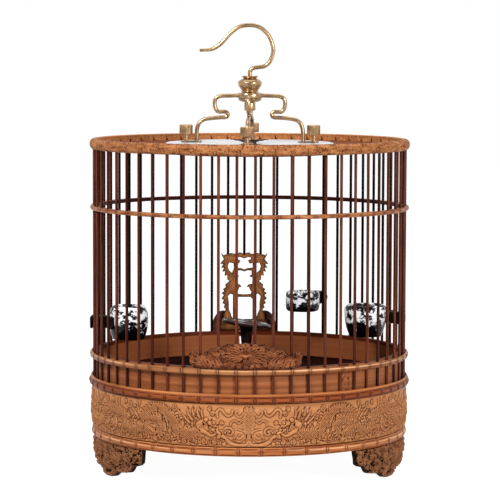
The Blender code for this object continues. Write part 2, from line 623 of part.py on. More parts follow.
# Hanger: hub and finial, bored for the hook's stem
stem_bore = ROD_RADIUS + SEAT_GAP / math.cos(math.pi / HUB_SEGMENTS)
hub_top = plate_top + HUB_RISE
hub_bottom = hub_top - HUB_HEIGHT
arm_level = hub_top - ARM_DROP
hub = turned("hub",
             [(stem_bore, hub_top)] + scaled(HUB_SHARES, HUB_RADIUS, HUB_HEIGHT, hub_bottom)
             + [(HUB_FOOT_RADIUS, hub_bottom), (stem_bore, hub_bottom)], HUB_SEGMENTS, BRASS)
finial_bottom = hub_top + SEAT_GAP
finial_top = finial_bottom + FINIAL_HEIGHT
finial_profile = scaled(FINIAL_SHARES, FINIAL_RADIUS, FINIAL_HEIGHT, finial_bottom)
turned("finial", [(stem_bore, finial_profile[0][1])] + finial_profile + [(stem_bore, finial_bottom)],
       HUB_SEGMENTS, BRASS)

# Hook, whose stem turns in the finial and the hub and ends in a nut below them
nut_top = hub_bottom - SEAT_GAP
nut_bottom = nut_top - NUT_HEIGHT
hook_route = [Vector((a * HOOK_REACH, 0.0, finial_top + u * HOOK_HEIGHT)) for a, u in HOOK_SHARES]
hook_route.append(Vector((0.0, 0.0, nut_top - NUT_THREAD + SEAT_GAP)))
taper = [HOOK_TIP_SCALE + (1 - HOOK_TIP_SCALE) * min(1.0, step / 3) for step in range(len(hook_route))]
rod("hook", hook_route, ROD_RADIUS, 2, BRASS, scales=taper)
hook_nut = turned("hook_nut",
                  [(0.0, nut_top - NUT_THREAD), (stem_bore, nut_top - NUT_THREAD), (stem_bore, nut_top),
                   (NUT_RADIUS, nut_top), (NUT_RADIUS, nut_bottom), (0.0, nut_bottom)],
                  HUB_SEGMENTS, BRASS, closed=False)

# Four cranked arms, each ending in a drilled tab that a thumb screw holds down
tab_bottom = plate_top + SEAT_GAP
tab_top = tab_bottom + TAB_THICKNESS
arm_drop = arm_level - tab_bottom
arm_start = HUB_RADIUS - ARM_SOCKET + SEAT_GAP
arm_route = [Vector((0.0, -arm_start, arm_level))]
arm_route += [Vector((0.0, -a * arm_spread, tab_bottom + u * arm_drop)) for a, u in ARM_SHARES]
arm_route.append(Vector((0.0, -arm_spread, tab_bottom + TAB_THICKNESS / 2)))
arm_bore = ARM_RADIUS + SEAT_GAP / math.cos(math.pi / ARM_SIDES)
tab_steps = 6
tab_loop = [(TAB_RADIUS * math.cos(math.pi * step / tab_steps),
             -arm_spread + TAB_RADIUS * math.sin(math.pi * step / tab_steps))
            for step in range(tab_steps + 1)]
tab_loop += [(-TAB_RADIUS * math.cos(math.pi * step / tab_steps),
              -knob_circle_radius - TAB_RADIUS * math.sin(math.pi * step / tab_steps))
             for step in range(tab_steps + 1)]
for side, turn in arm_turns.items():
    swing = Matrix.Rotation(turn, 4, "Z")
    socket_place = swing @ Matrix.Rotation(math.pi / 2, 4, "X")
    boolean(hub, prisms("arm_socket_" + side, [socket_place], ARM_SIDES, arm_bore,
                        HUB_RADIUS - ARM_SOCKET, HUB_RADIUS + OVERRUN), "DIFFERENCE")
    cutters.objects["arm_socket_" + side].location.z = arm_level
    arm = rod("arm_" + side, arm_route, ARM_RADIUS, 1, BRASS, place=swing)
    tab_place = swing @ Matrix.Translation((0.0, 0.0, (tab_bottom + tab_top) / 2))
    tab = outline("tab_" + side, [tab_loop, circle((0.0, -knob_circle_radius), pin_hole, PIN_SIDES)],
                  TAB_THICKNESS, tab_place)
    boolean(arm, tab, "UNION")
    knob_bottom = tab_top + KNOB_LIFT
    knob_top = knob_bottom + KNOB_HEIGHT
    knob_profile = [(0.0, knob_top), (KNOB_RADIUS - KNOB_EDGE, knob_top),
                    (KNOB_RADIUS, knob_top - KNOB_EDGE), (KNOB_RADIUS, knob_bottom + KNOB_EDGE),
                    (KNOB_RADIUS - KNOB_EDGE, knob_bottom), (ROD_RADIUS, knob_bottom),
                    (ROD_RADIUS, pin_bottom), (0.0, pin_bottom)]
    knob = turned("knob_" + side, knob_profile, PIN_SIDES, BRASS, closed=False)
    knob.location = polar(turn, knob_circle_radius)

# Feeding cups, each in a holder that clamps two bars between its plate and an outer nut
half_pitch = math.pi / BAR_COUNT
clamp_face = BAR_CIRCLE_RADIUS * math.cos(half_pitch) - BAR_RADIUS - SEAT_GAP
nut_face = BAR_CIRCLE_RADIUS * math.cos(half_pitch) + BAR_RADIUS + SEAT_GAP
stem_hole = STEM_RADIUS + SEAT_GAP / math.cos(math.pi / PIN_SIDES)
cups = {
    "left": (41, CUP_LEFT_RADIUS, CUP_LEFT_HEIGHT, CUP_LEFT_RISE, CUP_LEFT_NECK_LENGTH,
             CUP_LEFT_HOLD_HEIGHT, CUP_LEFT_GRIP, CUP_LEFT_SHARES),
    "right": (15, CUP_RIGHT_RADIUS, CUP_RIGHT_HEIGHT, CUP_RIGHT_RISE, CUP_RIGHT_NECK_LENGTH,
              CUP_RIGHT_HOLD_HEIGHT, CUP_RIGHT_GRIP, CUP_RIGHT_SHARES),
    "small": (23, CUP_SMALL_RADIUS, CUP_SMALL_HEIGHT, CUP_SMALL_RISE, CUP_SMALL_NECK_LENGTH,
              CUP_SMALL_HOLD_HEIGHT, CUP_SMALL_GRIP, CUP_SMALL_SHARES),
}
for side, (bar, radius, height, rise, neck, hold_height, grip, shares) in cups.items():
    turn = bar_turn(bar) + half_pitch
    saddle = radius + SEAT_GAP
    back = saddle + SADDLE_THICKNESS
    clamp = back + neck
    reach = clamp_face - clamp
    bottom = deck + rise
    hold = bottom + hold_height
    cup = turned("cup_" + side, scaled(shares, radius, height), CUP_SEGMENTS, PORCELAIN, closed=False)
    cup.location = polar(turn, reach, bottom)
    lean = math.asin(HOLDER_NECK / back)
    steps = 6
    inside = [(saddle * math.sin(grip * (2 * step / steps - 1)),
               saddle * math.cos(grip * (2 * step / steps - 1))) for step in range(steps + 1)]
    wing = [(back * math.sin(grip + (lean - grip) * step / 3),
             back * math.cos(grip + (lean - grip) * step / 3)) for step in range(4)]
    plate = [(HOLDER_NECK, clamp - CLAMP_ROOT), (HOLDER_HALF_WIDTH, clamp - CLAMP_THICKNESS),
             (HOLDER_HALF_WIDTH, clamp)]
    outside = wing + plate
    loop = inside + outside + [(-x, y) for x, y in reversed(outside)]
    flat = Matrix.Rotation(turn, 4, "Z") @ Matrix.Rotation(math.pi, 4, "Z")
    holder = outline("cup_holder_" + side, [loop], HOLDER_HEIGHT,
                     Matrix.Translation(polar(turn, reach, hold)) @ flat, BLACK)
    along = Matrix.Translation((0.0, 0.0, hold)) @ Matrix.Rotation(turn, 4, "Z")
    along = along @ Matrix.Rotation(math.pi / 2, 4, "X")
    stem = prisms("stem_" + side, [along], PIN_SIDES, STEM_RADIUS, clamp_face - CLAMP_THICKNESS / 2,
                  nut_face + CLAMP_NUT_THREAD)
    boolean(holder, stem, "UNION")
    tip = HOLDER_HEIGHT / 2
    middle = HOLDER_HALF_WIDTH - tip
    end = [(middle + tip * math.sin(math.pi * step / 6), tip * math.cos(math.pi * step / 6))
           for step in range(7)]
    nut = outline("holder_nut_" + side, [end + [(-x, -y) for x, y in end]], CLAMP_NUT_THICKNESS,
                  facing(turn, nut_face + CLAMP_NUT_THICKNESS / 2, hold), BLACK)
    bore = prisms("nut_bore_" + side, [along], PIN_SIDES, stem_hole, nut_face - OVERRUN,
                  nut_face + CLAMP_NUT_THREAD + SEAT_GAP)
    boolean(nut, bore, "DIFFERENCE")

# Stage: a slab that slopes down to the right, on a post that is cut to the slope
slab_level = floor_top + SLAB_RISE
slab_place = Matrix.Translation((-STAGE_OFFSET, 0.0, slab_level)) @ Matrix.Rotation(SLAB_TILT, 4, "Y")
slab = prisms("stage_slab", [Matrix.Identity(4)], SLAB_SEGMENTS, SLAB_RADIUS, -SLAB_THICKNESS / 2,
              SLAB_THICKNESS / 2, BLACK)
slab.matrix_world = slab_place
post_bottom = floor_top + SEAT_GAP
post = turned("stage_post", scaled([(0.0, 1.0)] + POST_SHARES + [(0.0, 0.0)], POST_RADIUS,
                                   slab_level - post_bottom), POST_SEGMENTS, BLACK, closed=False)
post.location = (-STAGE_OFFSET, 0.0, post_bottom)
lid = SLAB_RADIUS
lid_place = slab_place @ Matrix.Translation((0.0, 0.0, lid / 2 - SLAB_THICKNESS / 2 - SEAT_GAP))
boolean(post, boxes("post_cut", [lid_place], (lid * 2, lid * 2, lid)), "DIFFERENCE")
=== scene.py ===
import math

import bmesh
import bpy
import numpy as np
from mathutils import Matrix, Vector


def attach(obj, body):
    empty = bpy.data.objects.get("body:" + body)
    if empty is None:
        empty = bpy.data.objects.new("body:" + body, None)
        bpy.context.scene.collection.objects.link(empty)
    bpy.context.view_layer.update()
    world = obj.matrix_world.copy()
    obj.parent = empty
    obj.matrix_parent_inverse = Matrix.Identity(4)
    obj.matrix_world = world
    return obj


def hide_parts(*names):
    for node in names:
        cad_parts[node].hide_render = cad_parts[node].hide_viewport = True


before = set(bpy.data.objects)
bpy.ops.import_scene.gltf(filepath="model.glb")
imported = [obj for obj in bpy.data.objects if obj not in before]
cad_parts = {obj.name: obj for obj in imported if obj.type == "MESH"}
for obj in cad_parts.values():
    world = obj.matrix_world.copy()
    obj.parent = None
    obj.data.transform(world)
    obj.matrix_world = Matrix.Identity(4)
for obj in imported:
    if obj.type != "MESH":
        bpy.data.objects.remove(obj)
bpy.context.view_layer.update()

# Feet: three bracket feet sawn from dark hardwood, pierced and carved all over with cloud scrolls, and
# fixed under the lower band. Each follows the ring above it and tapers in steps to a rounded toe.
FOOT_HEIGHT = 0.0337
FOOT_RADIUS = 0.163
FOOT_THICKNESS = 0.0075
FOOT_HALF_WIDTH = 0.0566
FOOT_TURNS = {"foot_left": -61.5, "foot_right": 61.5, "foot_rear": 180}
FOOT_EDGE = [(0.0, 0.0), (0.07, 0.0), (0.13, 0.02), (0.19, 0.05), (0.25, 0.11), (0.30, 0.165),
             (0.36, 0.215), (0.43, 0.195), (0.50, 0.225), (0.56, 0.22), (0.60, 0.26), (0.66, 0.25),
             (0.70, 0.295), (0.73, 0.35), (0.755, 0.42), (0.78, 0.47), (0.82, 0.465), (0.87, 0.51),
             (0.90, 0.50), (0.95, 0.555), (0.975, 0.60), (0.985, 0.72), (0.97, 0.74), (0.993, 0.86),
             (1.0, 0.98)]
FOOT_HOLES = 105
PORE_DEPTH = 0.0004
# How far in from its sawn edges a carved board is rounded, and how far its ground stands over its depth
EDGE_ROUNDING = 0.0012
GROUND_HEIGHT = 0.0004


def linear(code):
    """An sRGB hex colour as linear RGBA."""
    parts = [int(code[i:i + 2], 16) / 255 for i in (0, 2, 4)]
    return (*[c / 12.92 if c <= 0.04045 else ((c + 0.055) / 1.055) ** 2.4 for c in parts], 1.0)


def feed(tree, node, inputs):
    """Fill sockets of a node with links, values or hex colours."""
    for key, value in inputs.items():
        if isinstance(value, bpy.types.NodeSocket):
            tree.links.new(value, node.inputs[key])
        else:
            node.inputs[key].default_value = linear(value) if isinstance(value, str) else value


def add(tree, kind, inputs=None, out=0, **settings):
    """Add a shader node with its settings, socket values and links, and give one of its outputs."""
    node = tree.nodes.new("ShaderNode" + kind)
    for key, value in settings.items():
        setattr(node, key, value)
    feed(tree, node, inputs or {})
    return node.outputs[out] if node.outputs else node


def start(name):
    """A new node material: its tree, its shader and the piece's own coordinates in metres."""
    mat = bpy.data.materials.new(name)
    mat.use_nodes = True
    tree = mat.node_tree
    return mat, tree, tree.nodes["Principled BSDF"], add(tree, "TexCoord", out=3)


def inward(tree, where):
    """One on the faces that look at the cage's axis, nought on those that look out: the mask that paints
    shade and light on those faces.
    """
    flat = add(tree, "VectorMath", {0: where, 1: (1.0, 1.0, 0.0)}, operation="MULTIPLY")
    out = add(tree, "VectorMath", {0: flat}, operation="NORMALIZE")
    normal = add(tree, "TexCoord", out=1)
    turned_out = add(tree, "VectorMath", {0: out, 1: normal}, 1, operation="DOT_PRODUCT")
    return add(tree, "MapRange", {0: turned_out, 1: -0.6, 2: 0.1, 3: 1.0, 4: 0.0})


def wood(name, light, dark, grain, roughness=(0.38, 0.55), hollow=None, inside=None, coat=0.0,
         specular=0.08):
    """Oiled wood: streaks that run along the smallest of the three grain scales, and fine pores.

    A grain scale is how many streaks lie in a metre. Real ones, under a millimetre wide, are too fine to
    show, so they are drawn several times as wide. Where hollow is given, low values of the mesh value carve
    paint shade into the cut-in places and high ones lighten the raised places, and the faces towards the
    axis have the colour inside, painted light.
    """
    mat, tree, shader, where = start(name)
    stretched = add(tree, "Mapping", {"Vector": where, "Scale": grain})
    broad = add(tree, "TexNoise", {"Vector": stretched, "Scale": 1.0, "Detail": 3.0})
    fine = add(tree, "TexNoise", {"Vector": stretched, "Scale": 4.5, "Detail": 5.0, "Roughness": 0.65})
    streaks = add(tree, "MapRange", {0: broad, 1: 0.32, 2: 0.68})
    tone = add(tree, "Mix", {0: streaks, 6: dark, 7: light}, 2, data_type="RGBA")
    pores = add(tree, "MapRange", {0: fine, 1: 0.35, 2: 0.75, 4: 0.45})
    tone = add(tree, "Mix", {0: pores, 6: tone, 7: dark}, 2, data_type="RGBA")
    # Painted light: the faces towards the axis are mixed towards the colour inside
    if inside:
        inner_face_painted_light = add(tree, "Math", {0: inward(tree, where), 1: 0.7}, operation="MULTIPLY")
        tone = add(tree, "Mix", {0: inner_face_painted_light, 6: tone, 7: inside}, 2, data_type="RGBA")
    # Painted shade: low values of carve darken the cut-in places towards the hollow colour
    if hollow:
        carve = add(tree, "Attribute", out=2, attribute_name="carve")
        sunk = add(tree, "MapRange", {0: carve, 1: 0.0, 2: 0.46, 3: 1.0, 4: 0.0})
        raised = add(tree, "MapRange", {0: carve, 1: 0.6, 2: 1.0, 4: 0.55})
        tone = add(tree, "Mix", {0: raised, 6: tone, 7: light}, 2, data_type="RGBA")
        tone = add(tree, "Mix", {0: sunk, 6: tone, 7: hollow}, 2, data_type="RGBA")
    feed(tree, shader, {
        "Base Color": tone,
        "Roughness": add(tree, "MapRange", {0: fine, 1: 0.3, 2: 0.7, 3: roughness[0], 4: roughness[1]}),
        "Normal": add(tree, "Bump", {"Height": fine, "Distance": PORE_DEPTH, "Strength": 0.5}),
        "Coat Weight": coat, "Coat Roughness": 0.25, "Specular IOR Level": specular})
    return mat


def surface(grid, wrap_rows=False, wrap_columns=False, carve=None):
    """A smooth mesh of quads over a grid of points, with a carve value at each."""
    rows, columns = grid.shape[:2]
    index = np.arange(rows * columns).reshape(rows, columns)
    here = index if wrap_rows else index[:-1]
    below = np.roll(index, -1, 0) if wrap_rows else index[1:]
    if wrap_columns:
        quads = np.stack([here, np.roll(here, -1, 1), np.roll(below, -1, 1), below], -1)
    else:
        quads = np.stack([here[:, :-1], here[:, 1:], below[:, 1:], below[:, :-1]], -1)
    mesh = bpy.data.meshes.new("piece")
    mesh.from_pydata(grid.reshape(-1, 3).tolist(), [], quads.reshape(-1, 4).tolist())
    if carve is not None:
        values = mesh.attributes.new("carve", "FLOAT", "POINT")
        values.data.foreach_set("value", np.ascontiguousarray(carve, np.float32).ravel())
    return mesh


def settle(name, mesh, mat, body, nodes, crease=40):
    """Close a piece's mesh, shade it, and hang it on its CAD body in place of CAD nodes."""
    bm = bmesh.new()
    bm.from_mesh(mesh)
    bmesh.ops.remove_doubles(bm, verts=bm.verts, dist=1e-6)
    rims = [edge for edge in bm.edges if edge.is_boundary]
    if rims:
        bmesh.ops.holes_fill(bm, edges=rims, sides=0)
    bmesh.ops.recalc_face_normals(bm, faces=bm.faces)
    bm.to_mesh(mesh)
    bm.free()
    mesh.name = name
    mesh.shade_smooth()
    mesh.set_sharp_from_angle(angle=math.radians(crease))
    mesh.materials.append(mat)
    obj = bpy.data.objects.new(name, mesh)
    bpy.context.scene.collection.objects.link(obj)
    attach(obj, body)
    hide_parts(*nodes)


def flow(points, steps=6):
    """A smooth line through points of any width, by the Catmull-Rom rule."""
    points = np.array(points, float)
    ends = np.vstack([2 * points[0] - points[1], points, 2 * points[-1] - points[-2]])
    line = []
    for p0, p1, p2, p3 in zip(ends, ends[1:], ends[2:], ends[3:]):
        for t in np.arange(steps) / steps:
            line.append(0.5 * (2 * p1 + (p2 - p0) * t + (2 * p0 - 5 * p1 + 4 * p2 - p3) * t ** 2
                               + (3 * p1 - p0 - 3 * p2 + p3) * t ** 3))
    return np.array(line + [points[-1]])


def scroll(x, y, radius, turns, start, hand, width, height):
    """A cloud scroll: a line that winds in to its own eye."""
    steps = int(turns * 12)
    line = []
    for step in range(steps + 1):
        share = step / steps
        angle = start + hand * share * turns * math.tau
        out = radius * (1.0 - 0.82 * share)
        line.append((x + out * math.cos(angle), y + out * math.sin(angle),
                     width * (1.15 - 0.35 * share), height * (0.8 + 0.3 * share)))
    return np.array(line)


def ridges(across, up, lines):
    """Height over a grid of rounded ridges along lines of (across, up, half width, height)."""
    height = np.zeros(up.shape)
    for line in lines:
        for (x0, y0, w0, h0), (x1, y1, w1, h1) in zip(line, line[1:]):
            reach = max(w0, w1)
            first = np.searchsorted(across, min(x0, x1) - reach)
            last = np.searchsorted(across, max(x0, x1) + reach)
            if first == last:
                continue
            dx, dy = x1 - x0, y1 - y0
            px = across[None, first:last] - x0
            py = up[:, first:last] - y0
            share = np.clip((px * dx + py * dy) / max(dx * dx + dy * dy, 1e-12), 0.0, 1.0)
            far = np.hypot(px - share * dx, py - share * dy) / (w0 + share * (w1 - w0))
            rise = (h0 + share * (h1 - h0)) * np.sqrt(np.clip(1.0 - far ** 2, 0.0, 1.0))
            height[:, first:last] = np.maximum(height[:, first:last], rise)
    return height


def cloud_field(half_width, low, high, pitch, seed, width, height):
    """Cloud scrolls packed over a band, each a little off its place in the rows."""
    draw = np.random.RandomState(seed)
    lines = []
    rows = max(1, int(round((high - low) / pitch)))
    for row in range(rows):
        count = int(2 * half_width / pitch)
        for place in range(count + 1):
            x = -half_width + (place + 0.5 * (row % 2)) * pitch + draw.uniform(-0.22, 0.22) * pitch
            y = low + (row + 0.5) * (high - low) / rows + draw.uniform(-0.2, 0.2) * pitch
            lines.append(scroll(x, y, pitch * draw.uniform(0.44, 0.62), draw.uniform(0.9, 1.5),
                                draw.uniform(0, math.tau), draw.choice((-1, 1)), width, height))
    return lines


def around(radius, turns, level):
    """Points at a radius from the cage's axis, a turn from its front and a level."""
    return np.stack([radius * np.sin(turns), -radius * np.cos(turns), level], -1)


def curtain(half_width, low_edge, high_edge, inner, outer, relief, turn, rows, pitch, depth):
    """A carved board that follows the ring, between two edges given as heights across it.

    Its front is a grid of points, rows up it and a pitch apart across it, on a ground sunk to a depth.
    """
    columns = int(2 * half_width / pitch)
    across = np.linspace(-half_width, half_width, columns)
    low, high = low_edge(across), high_edge(across)
    rise = np.linspace(0.0, 1.0, rows)[:, None]
    up = low[None, :] + rise * (high - low)[None, :]
    height = relief(across, up)
    rim = np.minimum(np.minimum(rise, 1.0 - rise) * (high - low)[None, :], EDGE_ROUNDING) / EDGE_ROUNDING
    front = outer - depth + (height + GROUND_HEIGHT) * np.sqrt(rim)
    back = np.full(front.shape, inner)
    radius = np.vstack([front, back[::-1]])
    up = np.vstack([up, up[::-1]])
    grid = around(radius, np.arcsin(across / outer)[None, :] + turn, up)
    # The sawn edges are painted as dark as the hollows, as shade
    carve = np.vstack([height / max(height.max(), 1e-9) * np.sqrt(rim), (0.5 * rim)[::-1]])
    carve[:, [0, -1]] = 0.0
    return surface(grid, wrap_rows=True, carve=carve)


def along(table, half_width, height):
    """A height across a piece from its table of shares, the same on both sides."""
    shares = np.array(table)
    return lambda across: np.interp(np.abs(across) / half_width, shares[:, 0], shares[:, 1]) * height


# Hardwood worn red-brown on its raised lines and painted near black as shade in its hollows, with a dull
# shine of old oil
worn_and_shaded_wood = wood("worn_and_shaded_hardwood", "A06C4A", "6A4028", (90.0, 90.0, 160.0), hollow="140301", specular=0.05)
foot_lines = [line for pitch, seed in ((0.0058, 11), (0.0076, 12))
              for line in cloud_field(FOOT_HALF_WIDTH, -0.001, 0.0345, pitch, seed, 0.0007, 0.0028)]
draw = np.random.RandomState(7)
foot_holes = []
for _ in range(FOOT_HOLES):
    x, y = draw.uniform(-FOOT_HALF_WIDTH, FOOT_HALF_WIDTH), draw.uniform(0.002, FOOT_HEIGHT - 0.001)
    long, lean = draw.uniform(0.001, 0.0034), draw.uniform(1.0, 2.1)
    foot_holes.append([(x, y, draw.uniform(0.001, 0.0015), 1.0),
                       (x + long * math.cos(lean), y + long * math.sin(lean), 0.0008, 1.0)])


def pierced(across, up):
    """The scrolls of a foot, with small holes bored between them."""
    # The holes and the ground between the scrolls get the near-black painted shade of the hollows
    return np.where(ridges(across, up, foot_holes) > 0.0, -0.0012, ridges(across, up, foot_lines))


for foot, turn in FOOT_TURNS.items():
    board = curtain(FOOT_HALF_WIDTH, along(FOOT_EDGE, FOOT_HALF_WIDTH, FOOT_HEIGHT),
                    lambda across: np.full(across.shape, FOOT_HEIGHT), FOOT_RADIUS - FOOT_THICKNESS,
                    FOOT_RADIUS, pierced, math.radians(turn), rows=60, pitch=0.0005, depth=0.0030)
    settle(foot + "_carved", board, worn_and_shaded_wood, "cage", [foot], 75)

# Lower band: a bent strip worked to look like a cane of bamboo, with a double ring at every joint.
# It runs under the drum and carries the feet.
BASE_BORE = 0.150
LOWER_BAND_BOTTOM = 0.0340
LOWER_BAND_TOP = 0.0427
LOWER_BAND_RADIUS = 0.163
LOWER_BAND_JOINTS = 45
LOWER_FIRST_JOINT = math.radians(-3.6)
LOWER_BAND_PAINTED_HIGHLIGHT = 0.0395
# A joint: its two ridges lie this far off its middle, in lines this wide, on a swelling this wide
JOINT_GAP = 0.0011
JOINT_LINE = 0.0005
JOINT_SWELL = 0.0035
JOINT_COLUMNS = 2240


def ring(profile, columns, relief=None):
    """A closed ring turned from rows of (radius, level, weight), raised by relief times weight."""
    turns = np.arange(columns) * math.tau / columns
    radius, level, weight = (np.array(part)[:, None] for part in zip(*profile))
    level = level + 0.0 * turns[None, :]
    height = relief(turns, level) * weight if relief else 0.0 * level
    top = max(float(np.abs(height).max()), 1e-9)
    return around(radius + height, turns, level), height / top


def joints(count, first, pitch_radius, ridge, lined=0.0):
    """The double ridge and groove of a bamboo joint, at even turns round a ring.

    Where lined is over zero, a groove of that depth in ridges runs along each edge of the strip too.
    """
    def relief(turns, level):
        phase = (turns - first) * count / math.tau
        off = np.abs(phase - np.round(phase)) * math.tau * pitch_radius / count
        rise = np.exp(-((off - JOINT_GAP) / JOINT_LINE) ** 2) - 0.8 * np.exp(-(off / JOINT_LINE) ** 2)
        swell = 0.5 * np.exp(-(off / JOINT_SWELL) ** 2)
        share = (level - level.min()) / np.ptp(level)
        edges = np.exp(-((share - 0.17) / 0.05) ** 2) + np.exp(-((share - 0.83) / 0.05) ** 2)
        return ridge * ((rise + swell)[None, :] - lined * edges)
    return relief


def half_round(inner, outer, bottom, top, bulge, rows):
    """Profile rows of a strip with a flat back and a face that swells outwards."""
    profile = [(inner, bottom, 0.0)]
    for step in range(rows):
        angle = math.pi * (step / (rows - 1) - 0.5)
        profile.append((outer - bulge * (1.0 - math.cos(angle)),
                        (bottom + top) / 2 + (top - bottom) / 2 * math.sin(angle),
                        max(0.0, math.cos(angle)) ** 0.3))
    return profile + [(inner, top, 0.0)]


def bamboo(name, light, dark, joint, grain=(9.0, 9.0, 420.0), shine=(0.3, 0.42), coat=0.03,
           inside="4A2012", painted_highlight_level=None):
    """Lacquered bamboo: long streaks 2.4 mm apart up it, coarser than real fibres, which wouldn't show.

    The colour joint lies where the mesh value carve is over or under nought. The inner side, towards the
    axis, is painted dark with the colour inside as shade. At painted_highlight_level, a pale painted
    highlight runs in patches.
    """
    mat, tree, shader, where = start(name)
    stretched = add(tree, "Mapping", {"Vector": where, "Scale": grain})
    broad = add(tree, "TexNoise", {"Vector": stretched, "Scale": 1.0, "Detail": 3.0})
    fine = add(tree, "TexNoise", {"Vector": stretched, "Scale": 4.0, "Detail": 4.0, "Roughness": 0.6})
    streaks = add(tree, "MapRange", {0: broad, 1: 0.35, 2: 0.65})
    tone = add(tree, "Mix", {0: streaks, 6: dark, 7: light}, 2, data_type="RGBA")
    carve = add(tree, "Attribute", out=2, attribute_name="carve")
    ridge = add(tree, "MapRange", {0: carve, 1: 0.05, 2: 0.6, 4: 0.75})
    groove = add(tree, "MapRange", {0: carve, 1: -0.35, 2: 0.0, 3: 0.9, 4: 0.0})
    # A painted highlight: a pale line in patches at one level
    if painted_highlight_level:
        level = add(tree, "SeparateXYZ", {0: where}, 2)
        away = add(tree, "Math", {0: level, 1: painted_highlight_level}, operation="SUBTRACT")
        away = add(tree, "Math", {0: away}, operation="ABSOLUTE")
        near = add(tree, "MapRange", {0: away, 1: 0.0003, 2: 0.0011, 3: 0.65, 4: 0.0})
        patchy_highlight = add(tree, "MapRange", {0: broad, 1: 0.35, 2: 0.6})
        highlight_share = add(tree, "Math", {0: near, 1: patchy_highlight}, operation="MULTIPLY")
        tone = add(tree, "Mix", {0: highlight_share, 6: tone, 7: "E6B688"}, 2, data_type="RGBA")
    tone = add(tree, "Mix", {0: ridge, 6: tone, 7: joint}, 2, data_type="RGBA")
    tone = add(tree, "Mix", {0: groove, 6: tone, 7: joint}, 2, data_type="RGBA")
    # Painted shade on the faces towards the axis
    inner = inward(tree, where)
    tone = add(tree, "Mix", {0: inner, 6: tone, 7: inside}, 2, data_type="RGBA")
    feed(tree, shader, {
        "Base Color": tone,
        "Roughness": add(tree, "MapRange", {0: fine, 1: 0.3, 2: 0.7, 3: shine[0], 4: shine[1]}),
        "Normal": add(tree, "Bump", {"Height": fine, "Distance": 0.0002, "Strength": 0.4}),
        "Coat Weight": add(tree, "MapRange", {0: inner, 3: coat, 4: 0.0}), "Coat Roughness": 0.2,
        "Specular IOR Level": 0.06})
    return mat


# Red-gold lacquered bamboo, darker at its joints, with a long painted highlight along it and painted shade on
# its inner side
band_bamboo = bamboo("lacquered_bamboo_band", "C07C4C", "8A4822", "5A240C", painted_highlight_level=LOWER_BAND_PAINTED_HIGHLIGHT)
strip = half_round(BASE_BORE, LOWER_BAND_RADIUS, LOWER_BAND_BOTTOM, LOWER_BAND_TOP, bulge=0.0016, rows=17)
worked = joints(LOWER_BAND_JOINTS, LOWER_FIRST_JOINT, LOWER_BAND_RADIUS, ridge=0.0005, lined=0.9)
grid, carve = ring(strip, JOINT_COLUMNS, worked)
settle("lower_band_cane", surface(grid, True, True, carve), band_bamboo, "cage",
       ["base_lower_band"])

# Drum: a slightly barrelled hoop of golden-brown wood, carved in low relief with two dragons that face
# a mask in front, and again behind, among flames and cloud scrolls.
DRUM_BOTTOM = 0.0430
DRUM_TOP = 0.0865
DRUM_RADIUS = 0.1639
DRUM_COLUMNS = 2080
DRUM_ROWS = 88
DRAWN_LENGTH = 258.4
